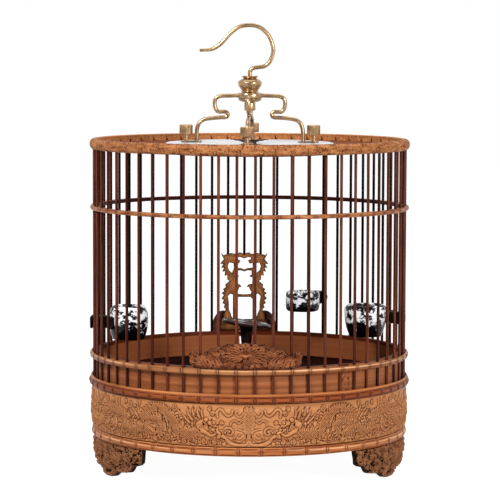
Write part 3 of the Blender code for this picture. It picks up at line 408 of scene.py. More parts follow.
# One quarter of the carving, in millimetres: along the hoop from the mask, up, half width, height
DRAGON_LINES = [
    [(16, 37, .9, .9), (17.2, 33, 1.1, 1.1), (20.8, 31.4, 1.2, 1.2), (24.2, 33.8, 1.2, 1.2),
     (27.3, 37.4, 1.2, 1.2), (30.4, 37.2, 1.2, 1.2), (32, 33.8, 1.4, 1.2), (31, 30, 1.2, 1)],
    [(-1, 13, 1, .9), (.5, 6, 1.2, 1), (4, 2.6, 1.5, 1.2), (11, 2.2, 1.8, 1.3), (18.4, 4.6, 1.9, 1.3),
     (24, 9.6, 1.9, 1.3), (31.4, 15.5, 1.6, 1.2), (36, 17.5, 1.3, 1)],
    [(0, 12, .7, .7), (4, 16, .9, .8), (9, 18, .8, .8), (13, 18.6, .5, .5)],
    [(5, 9, .8, .7), (8, 6.4, .9, .8), (12, 6.6, 1, .9), (14.6, 9, .9, .8), (13.2, 11, .8, .8)],
    [(24.5, 18.6, .9, .9), (21, 19.8, 1, 1), (17.5, 19, 1.1, 1), (15.6, 15.8, 1.1, 1),
     (17.5, 12.6, 1, 1), (20.8, 13.6, .9, .9), (19.8, 15.8, .7, .7)],
    [(5.5, 34, .8, .8), (8.5, 30.6, 1, .9), (12, 31.8, 1, .9), (13.2, 35, .9, .8), (11, 36.4, .8, .7)],
    [(7, 27, .8, .8), (10, 24.2, .9, .9), (13.5, 26.8, 1, .9), (17, 25.4, .9, .8), (18.2, 21.8, .8, .7)],
    [(31, 17.6, 1.2, 1.2), (34, 21.4, 1.8, 1.5), (39, 24, 2.4, 1.7), (45, 25, 3, 1.8), (50, 22, 3.4, 1.8)],
    [(33, 13.4, 1, 1), (37, 11.6, 1.5, 1.3), (42, 13.6, 2, 1.5), (47, 17, 2.6, 1.7)],
    [(46, 29, .9, 1.2), (47.4, 33.4, 1, 1.3), (46.4, 38.4, .4, .8)],
    [(49.6, 29, 1, 1.2), (51.6, 33.4, 1.1, 1.3), (51.6, 39, .4, .8)],
    [(53.4, 28, 1, 1.2), (56.2, 32.4, 1.1, 1.3), (57.4, 38.6, .4, .8)],
    [(57, 26.4, 1, 1.2), (60.6, 30.8, 1.1, 1.3), (63.4, 36.6, .4, .8)],
    [(59.6, 23.4, 1, 1.2), (64, 27.4, 1.1, 1.2), (68.6, 32.4, .4, .8)],
    [(84, 19, .8, 1), (86, 26, 1, 1.2), (91, 34, .4, .8)],
    [(89, 30, .8, 1), (93.6, 36, 1, 1), (100, 40, .4, .6)],
    [(116, 24, .8, 1), (120, 30, 1, 1.2), (124, 37.6, .4, .8)],
    [(120, 23, .8, 1), (125, 28, 1, 1.2), (131, 34, .4, .8)],
    [(150, 31, .8, 1), (151.6, 36, .9, 1), (150.4, 40.4, .4, .7)],
    [(154, 31, .8, 1), (156, 36, .9, 1), (155.6, 40.4, .4, .7)],
    [(158, 30, .8, 1), (161, 35, .9, 1), (161.8, 40, .4, .7)],
    [(176, 9, .9, 1), (165, 6.6, 1.2, 1.2), (157, 11, 1.3, 1.2), (156, 18.6, 1.2, 1.1),
     (162, 22.6, 1, 1), (167, 19, .8, .9)],
    [(196, 31, .8, 1), (200, 36, .9, 1), (206, 40, .4, .7)],
    [(203, 27, .8, 1), (208, 32, .9, 1), (215, 35.4, .4, .7)],
    [(236, 27, .8, 1), (238, 33, .9, 1), (236, 39, .4, .7)],
    [(241, 28, .8, 1), (245, 34, .9, 1), (246, 39.6, .4, .7)],
]
DRAGON_BODY = [(45, 20, 4.2), (53, 14, 4.6), (63, 11.5, 4.8), (72, 15, 4.8), (78, 24, 4.6),
               (86, 32.6, 4.4), (97, 36, 4.3), (108, 33, 4.3), (114, 23, 4.3), (108, 13, 4.2),
               (97, 10, 4.1), (90, 17, 4.0), (96, 24.4, 3.9), (106, 22.6, 3.6), (118, 15, 3.8),
               (130, 9.6, 3.9), (140, 15, 3.9), (143, 25, 3.8), (152, 27, 3.6), (168, 30, 3.6),
               (180, 24, 3.6), (188, 14, 3.4), (199, 9.4, 3.2), (211, 15, 3.0), (218, 25, 2.7),
               (228, 26, 2.3), (236, 17, 1.9), (247, 13, 1.3), (256, 18, .7)]
DRAGON_CLOUDS = [(85, 7, 3.2), (76, 36.6, 3), (66, 4.6, 2.6), (122, 39, 2.6), (134, 36, 3.2),
                 (118, 5, 2.8), (145, 6, 3.4), (151, 13, 2.4), (142, 37.6, 2.6), (176, 36, 3.4),
                 (184, 39, 2.4), (172, 14, 3), (180, 5, 3), (192, 24, 3), (190, 36, 2.6), (207, 5, 2.8),
                 (217, 6.6, 3.2), (225, 37, 3.4), (228, 8, 3), (210, 27, 2.6), (240, 5.6, 2.8),
                 (250, 7, 3), (251, 28, 3.2), (256, 37, 2.6), (246, 22, 2.2), (36, 33, 2.4), (39, 38, 2),
                 (27, 25, 1.8), (3, 38, 2.2), (34, 5, 2.4), (44, 5, 3), (54, 5.4, 2.4), (30, 11, 1.6),
                 (25, 3.4, 1.6)]
DRAGON_EYES = [(42.6, 27.4, 2.1, 1.3), (34.4, 24.6, 1.7, 1.1), (9.5, 12.4, 1.3, 1.1), (14.4, 7.4, 1.1, 1),
               (19.4, 16, 1.2, 1), (2.6, 33, 1.3, 1.2), (100, 17, 1.6, 1)]
CLAWS = [(66, 22, 1, 5), (101, 4.6, -1, 5), (134, 24, 1, 5), (163, 38, 1, 4.4), (203, 19, -1, 4.6),
         (231, 33, 1, 4.4), (83, 14, -1, 4)]
# Long narrow cuts beside the flames and behind the coils: along, up, length, lean in degrees
DRAGON_CUTS = [(96, 33, 5.5, 100), (90.5, 27, 5, 95), (85.5, 20, 7, 92), (49.6, 38.4, 3.4, 60),
               (56.4, 38.6, 3.4, 62), (62, 38, 3, 60), (71.6, 35.4, 3, 50), (98.6, 14, 2, 60),
               (97, 9, 3, 140), (117, 14, 2.4, 60), (131, 14, 2, 70), (139, 15, 3.6, 96),
               (128, 4.4, 4, 120), (145, 4, 5, 80), (151, 8.6, 2, 30), (159, 30, 2.4, 60),
               (160, 21, 4, 95), (170, 26, 4, 80), (177, 30, 5, 100), (185, 20, 4, 80), (193, 30, 4, 95),
               (201, 14, 4, 70), (221, 30, 5, 95), (233, 22, 4, 90), (105, 38, 3, 40), (76, 5, 4, 150),
               (60, 4.4, 3, 20), (112, 3.6, 3, 160), (123, 22, 3, 70), (136, 31, 3, 60),
               (40.5, 21.6, 2, 30), (37, 27.6, 2.4, 120), (45.4, 23.6, 2, 60), (30.4, 22.6, 2.6, 150),
               (33, 19.6, 1.6, 20), (246, 12, 3, 70), (252, 33, 3, 110), (212, 38, 3, 60),
               (2.2, 12, 4, 96)]
FLAME_TIP = .4
SPINE_PITCH = 2.6
SPINE_START = 6.0
SPINE_STOP = 8.0
PEBBLE_PITCH = 3.1
PEBBLE_ROWS = 12
PEBBLES_IN_ROW = 76
PIT_DEPTH = 0.0009
# How far the ground of the carving lies under the hoop's radius, and how far the hoop draws in at its edges
DRUM_RELIEF = 0.0005
DRUM_BARREL = 0.0015
quarter_length = math.tau * DRUM_RADIUS / 4
carve_across = np.linspace(0.0, quarter_length, DRUM_COLUMNS // 4 + 1)
carve_up = np.linspace(DRUM_BOTTOM, DRUM_TOP, DRUM_ROWS)
milli = np.array([quarter_length / DRAWN_LENGTH, 0.001, 0.001, 0.001])


def drawn(points):
    """Points of the drawing, in millimetres, at their places on the hoop."""
    return np.array(points) * milli + (0.0, DRUM_BOTTOM, 0.0, 0.0)


lines = [drawn(flow(line)) for line in DRAGON_LINES]
cuts = [drawn(flow([(x + 1.5, y - .6, .5, .6), (x + 1.6, y - .8, .5, .6)]))
        for x, y, _, _ in (line[-2] for line in DRAGON_LINES if line[-1][2] == FLAME_TIP)]
for x, y, size in DRAGON_CLOUDS:
    lines.append(scroll(x * milli[0], y * 0.001 + DRUM_BOTTOM, size * 0.001, 1.25, 0.6 * x,
                        1 if x % 2 else -1, 0.0008, 0.0013))
for x, y, side, size in CLAWS:
    for finger in range(4):
        angle = math.radians(-62 + finger * 41) + (0.0 if side > 0 else math.pi)
        hooked = angle + .35
        tip = [(x, y, .9, 1.3),
               (x + .55 * size * math.cos(angle), y + .55 * size * math.sin(angle), .8, 1.3),
               (x + size * math.cos(hooked), y + size * math.sin(hooked), .3, .9)]
        lines.append(drawn(flow(tip)))
for x, y, long, lean in DRAGON_CUTS:
    dx, dy = .5 * long * math.cos(math.radians(lean)), .5 * long * math.sin(math.radians(lean))
    cuts.append(drawn(flow([(x - dx, y - dy, .75, .9), (x, y, .7, .9), (x + dx, y + dy, .35, .5)])))
body = flow([(x, y, w, 1.9) for x, y, w in DRAGON_BODY], 14)
length = np.concatenate([[0.0], np.cumsum(np.hypot(*np.diff(body[:, :2], axis=0).T))])
spine = []
for place in np.arange(SPINE_START, length[-1] - SPINE_STOP, SPINE_PITCH):
    x, y, w = (np.interp(place, length, body[:, k]) for k in range(3))
    x2, y2 = (np.interp(place + 1.0, length, body[:, k]) for k in range(2))
    nx, ny = -(y2 - y), x2 - x
    spine.append(drawn([(x + nx * w * .8, y + ny * w * .8, .8, 1.4),
                        (x + nx * (w + 1.9) + .8 * (x2 - x), y + ny * (w + 1.9) + .8 * (y2 - y), .3, .8)]))
level = carve_up[:, None] + 0.0 * carve_across[None, :]
# Pebbled clouds fill the hoop between the dragons, but for a plain field by the mask and under the band
draw = np.random.RandomState(4)
pebbles = []
for row in range(PEBBLE_ROWS):
    for place in range(PEBBLES_IN_ROW):
        x = 24 + (place + .5 * (row % 2) + draw.uniform(-.35, .35)) * PEBBLE_PITCH * 1.04
        y = 1.6 + (row + draw.uniform(-.35, .35)) * PEBBLE_PITCH
        size, rise = draw.uniform(.9, 1.6), draw.uniform(.7, 1.4)
        if y < 34 + 2.5 * math.sin(x / 6) and (x > 46 or y < 16 + .5 * (x - 24)):
            pebbles.append(drawn([(x, y, size, rise), (x, y, size, rise)]))
            if draw.uniform() < .16:
                cuts.append(drawn([(x, y - 1.1, .7, .8), (x + .5, y + .2, .5, .6)]))
height = ridges(carve_across, level, lines + spine)
moat = ridges(carve_across, level, [line + (0, 0, 0.0009, 0) for line in lines])
trunk = ridges(carve_across, level, [drawn(body)])
cross_x = carve_across[None, :] * 1000
cross_y = (level - DRUM_BOTTOM) * 1000
# Scales: two crossing sets of lines over the bodies
scales = np.abs(np.sin((cross_x + cross_y) * 1.38) * np.sin((cross_x - cross_y) * 1.38)) ** 0.7
pebbled = np.where((moat > 0) & (height <= 0) | (trunk > 0), 0.0, ridges(carve_across, level, pebbles))
height = np.maximum(np.maximum(height, pebbled), trunk * (0.35 + 0.65 * scales))
# Each eye is a bead with a cut round it
for x, y, size, rise in DRAGON_EYES:
    far = np.hypot(cross_x - x, cross_y - y) / size
    height = np.maximum(height, rise * 0.001 * np.sqrt(np.clip(1 - far ** 2, 0, 1)))
    height = np.where((far > 1) & (far < 1.4), -0.0005, height)
# The mask is a scaled dome, with a beard under it that narrows to the foot of the hoop
mask = np.sqrt(np.clip(1 - (cross_x / 6.4) ** 2 - ((cross_y - 31) / 7.4) ** 2, 0, 1)) * 1.4
beard = np.sqrt(np.clip(1 - (cross_x / np.clip(1.5 + cross_y * .2, .5, 7)) ** 2, 0, 1)) * 1.2
beard *= cross_y < 27
height = np.maximum(height, np.maximum(mask, beard) * 0.001 * (0.45 + 0.55 * scales))
pit = ridges(carve_across, level, cuts)
height = np.where(pit > 0, np.minimum(height, 0.0002) - pit, height)
# The carving fades out in the last two millimetres before each edge
to_edge = np.minimum(cross_y, (DRUM_TOP - DRUM_BOTTOM) * 1000 - cross_y)
edge = np.clip((to_edge - 0.8) / 1.2, 0, 1)
# A groove runs under the top band and over the lower one, painted dark as shade in the joints
groove = np.clip((0.9 - to_edge) / 0.4, 0, 1)
height = height * edge - 0.0008 * groove
pit = pit * edge + PIT_DEPTH * groove
carving, pit = (np.hstack([part, part[:, -2::-1], part[:, 1:], part[:, -2:0:-1]])
                for part in (height, pit))
shares = (carve_up - DRUM_BOTTOM) / (DRUM_TOP - DRUM_BOTTOM)
barrel = DRUM_RADIUS - DRUM_BARREL * (2 * shares - 1) ** 2
drum_turns = np.arange(DRUM_COLUMNS) * math.tau / DRUM_COLUMNS
bore = np.full((1, DRUM_COLUMNS), BASE_BORE)
radius = np.vstack([bore, barrel[:, None] + carving - DRUM_RELIEF, bore])
level = np.concatenate([[DRUM_BOTTOM], carve_up, [DRUM_TOP]])[:, None] + 0.0 * radius
grid = around(radius, drum_turns, level)
# Painted shade, like ambient occlusion, darkens the foot of each raised line and the cuts: the value falls
# below the ground's there, and rises over it on the crests
soft = carving.copy()
for _ in range(3):
    soft = (soft + np.roll(soft, 1, 1) + np.roll(soft, -1, 1)) / 3
    soft[1:-1] = (soft[:-2] + soft[1:-1] + soft[2:]) / 3
value = 0.5 + np.clip((carving - soft) / 0.00042, -0.45, 0.5)
value = np.minimum(value, 0.5 - 0.5 * np.clip(pit / (0.6 * PIT_DEPTH), 0, 1))
plain = np.full((1, DRUM_COLUMNS), .5)
value = np.vstack([plain, value, plain])
# Golden-brown hardwood with its grain along the hoop; the hollows take a dark painted shade
drum_wood = wood("golden_hardwood", "C08658", "A0663E", (5.0, 5.0, 260.0), hollow="461802")
settle("drum_carved", surface(grid, True, True, value), drum_wood, "cage", ["base_drum"])

# Top band: a bent strip worked like bamboo, with a joint in front of every bar, and a thin strip above
# it. Both lie on the drum, outside the feet of the bars.
DECK = 0.0868
TOP_BAND_BORE = 0.16295
TOP_BAND_RADIUS = 0.1656
TOP_BAND_TOP = 0.0934
TOP_LINE_RADIUS = 0.1646
TOP_LINE_BOTTOM = TOP_BAND_TOP - 0.0001
TOP_LINE_TOP = 0.0958
BAR_COUNT = 56
FIRST_BAR_TURN = math.radians(2.03)
# Bamboo lacquered a deeper red, nearly black at its joints, with painted shade on its inner side
red_bamboo = bamboo("red_lacquered_bamboo", "924E28", "682C12", "2C0A02", inside="3C1206")
strip = half_round(TOP_BAND_BORE, TOP_BAND_RADIUS, DECK, TOP_BAND_TOP, bulge=0.0013, rows=17)
worked = joints(BAR_COUNT, FIRST_BAR_TURN, TOP_BAND_RADIUS, ridge=0.0005, lined=0.9)
grid, carve = ring(strip, JOINT_COLUMNS, worked)
settle("top_band_cane", surface(grid, True, True, carve), red_bamboo, "cage", ["base_top_band"])
strip = half_round(TOP_BAND_BORE, TOP_LINE_RADIUS, TOP_LINE_BOTTOM, TOP_LINE_TOP, bulge=0.0008, rows=7)
grid, _ = ring(strip, columns=320)
settle("top_band_line", surface(grid, True, True), band_bamboo, "cage", ["base_top_band"])

# Inner wall: a thin hoop of golden wood behind the feet of the bars, notched at the back under the door
# and carved with one small tile at the front right.
WALL_BORE = 0.155
WALL_RADIUS = 0.159
WALL_TOP = 0.1215
NOTCH_CENTRE = -0.005
NOTCH_HALF_WIDTH = 0.006
NOTCH_DEPTH = 0.0155
TILE_TURN = math.radians(36.3)
TILE_HALF_WIDTH = 0.0062
TILE_TOP = 0.1147
TILE_DEPTH = 0.0006
STAIN_SHARES = (0.885, 0.875)
WALL_ROWS = 40
WALL_COLUMNS = 1600
wall_turns = np.arange(WALL_COLUMNS) * math.tau / WALL_COLUMNS
wall_x = WALL_RADIUS * np.sin(wall_turns)
notched = (np.abs(wall_x - NOTCH_CENTRE) < NOTCH_HALF_WIDTH) & (np.cos(wall_turns) < 0)
wall_high = np.where(notched, WALL_TOP - NOTCH_DEPTH, WALL_TOP)
wall_profile = [(WALL_BORE, 0.0), *((WALL_RADIUS, share) for share in np.linspace(0, 1, WALL_ROWS)),
                *((WALL_BORE, share) for share in (1.0, *STAIN_SHARES))]
radius, share = (np.array(part)[:, None] for part in zip(*wall_profile))
level = DECK + (wall_high - DECK) * share
tile_across = (wall_turns - TILE_TURN) * WALL_RADIUS
tile_lines = cloud_field(TILE_HALF_WIDTH, DECK, TILE_TOP, 0.0032, 5, 0.0005, 0.0006)
tile = (np.abs(tile_across) < TILE_HALF_WIDTH) & (radius == WALL_RADIUS)
bump = ridges(tile_across, level, tile_lines) * tile
grid = around(radius + bump - TILE_DEPTH * tile, wall_turns, level)
value = np.where(tile, np.clip(bump / TILE_DEPTH, 0.0, 1.0), 0.5)
# Its top edge and a strip inside below it take the dark hollow colour
value[-4:-1] = 0.0
# Golden wood, planed, with long fine grain along the hoop, and painted light on its inner face
wall_wood = wood("planed_golden_wood", "A4643E", "7C4424", (5.0, 5.0, 300.0), (0.35, 0.5), hollow="5A2410",
                 inside="965430")
settle("wall_planed", surface(grid, True, True, value), wall_wood, "cage", ["wall_ring"])

# Floor: one round board of dark purple-brown wood, worn to a dull shine by cleaning. It lies on the
# drum, inside the wall.
FLOOR_TOP = 0.0960
FLOOR_RADIUS = 0.1546
floor_profile = [(0.0, FLOOR_TOP, 0)] + [(r, FLOOR_TOP, 0) for r in (0.03, 0.06, 0.09, 0.12, 0.15, 0.1542)]
floor_profile += [(FLOOR_RADIUS, FLOOR_TOP - 0.0005, 0), (FLOOR_RADIUS, DECK, 0), (0.0, DECK, 0)]
grid, _ = ring(floor_profile, columns=160)
# Dark wood scrubbed dull, its streaks running from front to back
floor_wood = wood("dark_floor_wood", "2E0C06", "160402", (90.0, 6.0, 60.0), (0.75, 0.9), specular=0.02)
settle("floor_worn", surface(grid, False, True), floor_wood, "cage", ["floor_board"])

# Bars: straight round canes of red-brown bamboo. Their outer side keeps its polished skin, and the side
# towards the cage is painted nearly black as shade.
BAR_CIRCLE = 0.1608
CANE_RADIUS = 0.0015 * 0.97
CANE_JOINT_SHARES = (0.31, 0.74)
CANE_JOINT = [(-0.012, 1.0), (-0.004, 1.07), (0.0, 0.94), (0.004, 1.06), (0.012, 1.0)]
CANE_SIDES = 14
BAR_TOP = 0.3347
DOOR_BAR = 28


def bar_turn(bar):
    """How far round from the front a bar stands."""
    return FIRST_BAR_TURN + bar * math.tau / BAR_COUNT


def spoke(turn, reach=1.0):
    """The way out from the axis at a turn, as far as reach."""
    return Vector((reach * math.sin(turn), -reach * math.cos(turn), 0.0))


def belt(bm, last, loop):
    """Quads between two loops of vertices."""
    for near, far, next_near, next_far in zip(last, loop, last[1:] + last[:1], loop[1:] + loop[:1]):
        bm.faces.new((near, next_near, next_far, far))


def made(bm):
    """A mesh of what bm holds."""
    mesh = bpy.data.meshes.new("piece")
    bm.to_mesh(mesh)
    bm.free()
    return mesh


def canes(bars, bottom, top):
    """Round canes at bar places: each a little thicker at its two joints, where a fine groove runs."""
    bm = bmesh.new()
    for bar in bars:
        middle = spoke(bar_turn(bar), BAR_CIRCLE)
        rows = [(0.0, 1.0)]
        for place in CANE_JOINT_SHARES:
            at = place + 0.06 * math.sin(bar * 2.4)
            rows += [(at + off, swell) for off, swell in CANE_JOINT]
        last = None
        for share, swell in rows + [(1.0, 1.0)]:
            radius = CANE_RADIUS * swell
            level = bottom + share * (top - bottom)
            loop = [bm.verts.new(middle + Vector((radius * math.cos(a), radius * math.sin(a), level)))
                    for a in (math.tau * side / CANE_SIDES for side in range(CANE_SIDES))]
            if last:
                belt(bm, last, loop)
            else:
                bm.faces.new(loop[::-1])
            last = loop
        bm.faces.new(last)
    return made(bm)


# Stained bamboo with a waxed surface: streaks about a millimetre wide along the bar
bar_cane, tree, shader, where = start("stained_bamboo")
stretched = add(tree, "Mapping", {"Vector": where, "Scale": (900.0, 900.0, 22.0)})
streak = add(tree, "TexNoise", {"Vector": stretched, "Scale": 1.0, "Detail": 3.0})
# One bar has taken more stain than the next
spread_out = add(tree, "Mapping", {"Vector": where, "Scale": (70.0, 70.0, 1.5)})
batch = add(tree, "TexNoise", {"Vector": spread_out, "Scale": 1.0, "Detail": 1.0})
paler = add(tree, "MapRange", {0: streak, 1: 0.35, 2: 0.65})
tone = add(tree, "Mix", {0: paler, 6: "38140A", 7: "723822"}, 2, data_type="RGBA")
darker = add(tree, "MapRange", {0: batch, 1: 0.4, 2: 0.62, 4: 0.8})
tone = add(tree, "Mix", {0: darker, 6: tone, 7: "2A0E08"}, 2, data_type="RGBA")
# Painted shade: the faces towards the axis are nearly black
inner = inward(tree, where)
tone = add(tree, "Mix", {0: inner, 6: tone, 7: "100302"}, 2, data_type="RGBA")
feed(tree, shader, {"Base Color": tone, "Specular IOR Level": 0.07,
                    "Roughness": add(tree, "MapRange", {0: inner, 3: 0.36, 4: 0.8})})
fixed = [bar for bar in range(BAR_COUNT) if abs(bar - DOOR_BAR) > 1]
settle("bars_round", canes(fixed, DECK, BAR_TOP), bar_cane, "cage", ["bars_and_mid_hoop"])

# Middle hoop: a flat strip of red bamboo, bent to a ring three quarters of the way up the bars. Every
# bar runs through it, and the three of the door slide in it.
MID_HOOP_BOTTOM = 0.2673
MID_HOOP_TOP = 0.2712
MID_HOOP_BORE = 0.1572
MID_HOOP_RADIUS = 0.1648
MID_JOINT_TURN = 0.03
strip = half_round(MID_HOOP_BORE, MID_HOOP_RADIUS, MID_HOOP_BOTTOM, MID_HOOP_TOP, bulge=0.0009, rows=7)
worked = joints(BAR_COUNT, FIRST_BAR_TURN + MID_JOINT_TURN, MID_HOOP_RADIUS, ridge=0.00015)
grid, carve = ring(strip, JOINT_COLUMNS // 2, worked)
# Amber lacquer on split bamboo, whose fibres are cut short: shorter streaks than on the bands; painted shade
# inside
amber_bamboo = bamboo("amber_bamboo", "A87048", "723A1C", "4A1A08", (60.0, 60.0, 420.0), (0.3, 0.45),
                      inside="3C1408")
settle("mid_hoop_strip", surface(grid, True, True, carve), amber_bamboo, "cage",
       ["bars_and_mid_hoop"])

# Lower hoop: a golden bamboo cane bent round outside the bars, its joints at the bars. The front plaque
# and the rear board stand on it.
LOWER_HOOP_BOTTOM = 0.1147
LOWER_HOOP_TOP = 0.1203
LOWER_HOOP_RADIUS = 0.1648
LOWER_HOOP_PAINTED_HIGHLIGHT = 0.1186
# Golden lacquer, glossier than the bands', with a painted highlight in a line along its upper half and
# painted shade on its inner side
gold_bamboo = bamboo("golden_bamboo", "A06840", "703816", "4A1C08", shine=(0.25, 0.38), coat=0.08,
                     painted_highlight_level=LOWER_HOOP_PAINTED_HIGHLIGHT)
strip = half_round(TOP_BAND_BORE, LOWER_HOOP_RADIUS, LOWER_HOOP_BOTTOM, LOWER_HOOP_TOP, bulge=0.0010, rows=9)
worked = joints(BAR_COUNT, FIRST_BAR_TURN, LOWER_HOOP_RADIUS, ridge=0.0004)
grid, carve = ring(strip, JOINT_COLUMNS, worked)
settle("lower_hoop_cane", surface(grid, True, True, carve), gold_bamboo, "cage",
       ["lower_hoop"])

# Top ring: a rounded hoop of red-brown wood, carved all round with low scrolls. It takes the tops of the
# bars, and the slats of the grille end on the ledge inside it.
RING_BORE = 0.1545
RING_LEDGE = 0.158
RING_RADIUS = 0.165
RING_BOTTOM = 0.329
RING_TOP = 0.3398
LEDGE_TOP = 0.3307
INNER_CUT = 0.9
NOTCH_WIDTH = 0.0022
NOTCH_RISE = 0.0072
RING_COLUMNS = 2400
RING_EIGHTHS = 8
ring_profile = [(RING_BORE, RING_BOTTOM, 0), (RING_BORE, LEDGE_TOP, 0), (RING_LEDGE, LEDGE_TOP, 0),
                *((RING_LEDGE, level, INNER_CUT)
                  for level in np.linspace(LEDGE_TOP + 0.0008, RING_TOP - 0.0014, 8)),
                (RING_LEDGE, RING_TOP - 0.0008, 0), (RING_LEDGE + 0.0008, RING_TOP, 0.3)]
for step in range(15):
    angle = math.radians(100 - 200 * step / 14)
    ring_profile.append((RING_RADIUS - 0.0046 + 0.0042 * math.cos(angle),
                         (RING_TOP + RING_BOTTOM) / 2 + 0.0054 * math.sin(angle), 1.0))
ring_arc = math.tau * RING_RADIUS / RING_EIGHTHS
ring_lines = [line for seed in (3, 4)
              for line in cloud_field(ring_arc / 2, RING_BOTTOM, RING_TOP, 0.0056, seed, 0.00075, 0.0009)]


def ring_scrolls(turns, level):
    """The scrolls of one eighth of the ring, repeated round it."""
    across = np.mod(turns, math.tau / RING_EIGHTHS) * RING_RADIUS - ring_arc / 2
    order = np.argsort(across)
    height = np.zeros(level.shape)
    height[:, order] = ridges(across[order], level[:, order], ring_lines)
    return height


grid, carve = ring(ring_profile, RING_COLUMNS, ring_scrolls)
# On the outside painted shade lies between the scrolls, and on the inside in the scrolls, which are cut in
_, level, weight = (np.array(part)[:, None] for part in zip(*ring_profile))
carve = np.where(weight == 1.0, 0.1 + 0.85 * carve, np.where(weight == INNER_CUT, 0.5 - 0.3 * carve, 0.5))
# A notch over the end of each slat, which leans as it was cut, is only painted on as dark shade
places = (np.arange(RING_COLUMNS) * math.tau / RING_COLUMNS - FIRST_BAR_TURN) * BAR_COUNT / math.tau
off = (places - np.round(places)) * math.tau * RING_LEDGE / BAR_COUNT
rise = level - LEDGE_TOP
notch = (np.abs(off[None, :] - 0.3 * rise) < NOTCH_WIDTH * (1 - rise / NOTCH_RISE)) & (weight == INNER_CUT)
carve = np.where(notch, 0.0, carve)
# Red-brown wood with a rubbed finish: bright on the raised lines, with painted shade between them and painted
# light on the inner face
ring_wood = wood("red_carved_wood", "BA7C4C", "68361A", (90.0, 90.0, 360.0), hollow="562408",
                 inside="C88450")
settle("top_ring_carved", surface(grid, True, True, carve), ring_wood, "cage", ["top_ring"])

# Top grille: a round board of red-brown wood under the plates, and rounded slats that run from its rim
# out to the ring, one above every bar.
GRILLE_RADIUS = 0.088
GRILLE_BOTTOM = 0.3245
GRILLE_TOP = 0.3340
SLAT_START = 0.0845
SLAT_END = 0.1573
SLAT_BOTTOM = 0.3310
SLAT_TOP = 0.3334
SLAT_HALF_WIDTH = 0.0013


def tube(line, sides, flat=1.0, up=(0.0, 0.0, 1.0)):
    """A rod along points of (x, y, z, radius), its section flattened across up by flat."""
    line = np.array(line, float)
    points = [Vector(row[:3]) for row in line]
    bm = bmesh.new()
    side = None
    last = None
    for place, point in enumerate(points):
        ahead = (points[min(place + 1, len(points) - 1)] - points[max(place - 1, 0)]).normalized()
        if side is None:
            side = ahead.cross(Vector(up)).normalized()
        side = (side - ahead * side.dot(ahead)).normalized()
        across = side.cross(ahead)
        loop = []
        for s in range(sides):
            angle = math.tau * s / sides
            out = side * math.cos(angle) + across * (math.sin(angle) * flat)
            loop.append(bm.verts.new(point + out * line[place, 3]))
        if last:
            belt(bm, last, loop)
        last = loop
    return made(bm)


def joined(meshes):
    """Several meshes as one."""
    bm = bmesh.new()
    for mesh in meshes:
        bm.from_mesh(mesh)
        bpy.data.meshes.remove(mesh)
    return made(bm)


def rounded(line, cap):
    """A rod's line of (x, y, z, radius) with its two ends rounded off over a length cap."""
    line = [np.array(row, float) for row in line]
    out = []
    for end, inner in ((line[0], line[1]), (line[-1], line[-2])):
        way = (inner[:3] - end[:3]) / np.linalg.norm(inner[:3] - end[:3])
        rows = [np.append(end[:3] + way * cap * (1 - math.cos(a)), end[3] * max(math.sin(a), 0.15))
                for a in (0.0, 0.5, 1.0, math.pi / 2)]
        out.append(rows)
    return out[0] + line[1:-1] + out[1][::-1]


board_profile = [(0.0, GRILLE_BOTTOM, 0), (GRILLE_RADIUS - 0.002, GRILLE_BOTTOM, 0),
                 (GRILLE_RADIUS - 0.0006, GRILLE_BOTTOM + 0.0006, 0),
                 (GRILLE_RADIUS, GRILLE_BOTTOM + 0.002, 0), (GRILLE_RADIUS, GRILLE_TOP - 0.001, 0),
                 (GRILLE_RADIUS - 0.001, GRILLE_TOP, 0), (0.0, GRILLE_TOP, 0)]
grid, _ = ring(board_profile, columns=128)
pieces = [surface(grid, False, True)]
for bar in range(BAR_COUNT):
    slat = [(*(spoke(bar_turn(bar)) * r + Vector((0, 0, (SLAT_BOTTOM + SLAT_TOP) / 2))), SLAT_HALF_WIDTH)
            for r in (SLAT_START, SLAT_START + 0.002, SLAT_END - 0.002, SLAT_END)]
    pieces.append(tube(slat, 8, (SLAT_TOP - SLAT_BOTTOM) / 2 / SLAT_HALF_WIDTH))
# Red-brown wood, stained darker than the ring
grille_wood = wood("stained_slat_wood", "8A4A28", "5A2A14", (60.0, 60.0, 300.0))
settle("grille_board_and_slats", joined(pieces), grille_wood, "cage", ["top_grille"])

# Inlaid plates on the board: two sides of polished bone and, between them, a carved middle of ebonised
# wood with serrated edges. The thumb screws hold all three down.
PLATE_RADIUS = 0.0868
PLATE_BOTTOM = 0.3343
PLATE_TOP = 0.3358
PLATE_PARTING = 0.0065
PLATE_ARC_RADIUS = 0.221
KNOB_CIRCLE = 0.066
PIN_HOLE = 0.00248
ARM_TURN = math.radians(-2.5)
ARM_SIDES = ("front", "right", "back", "left")


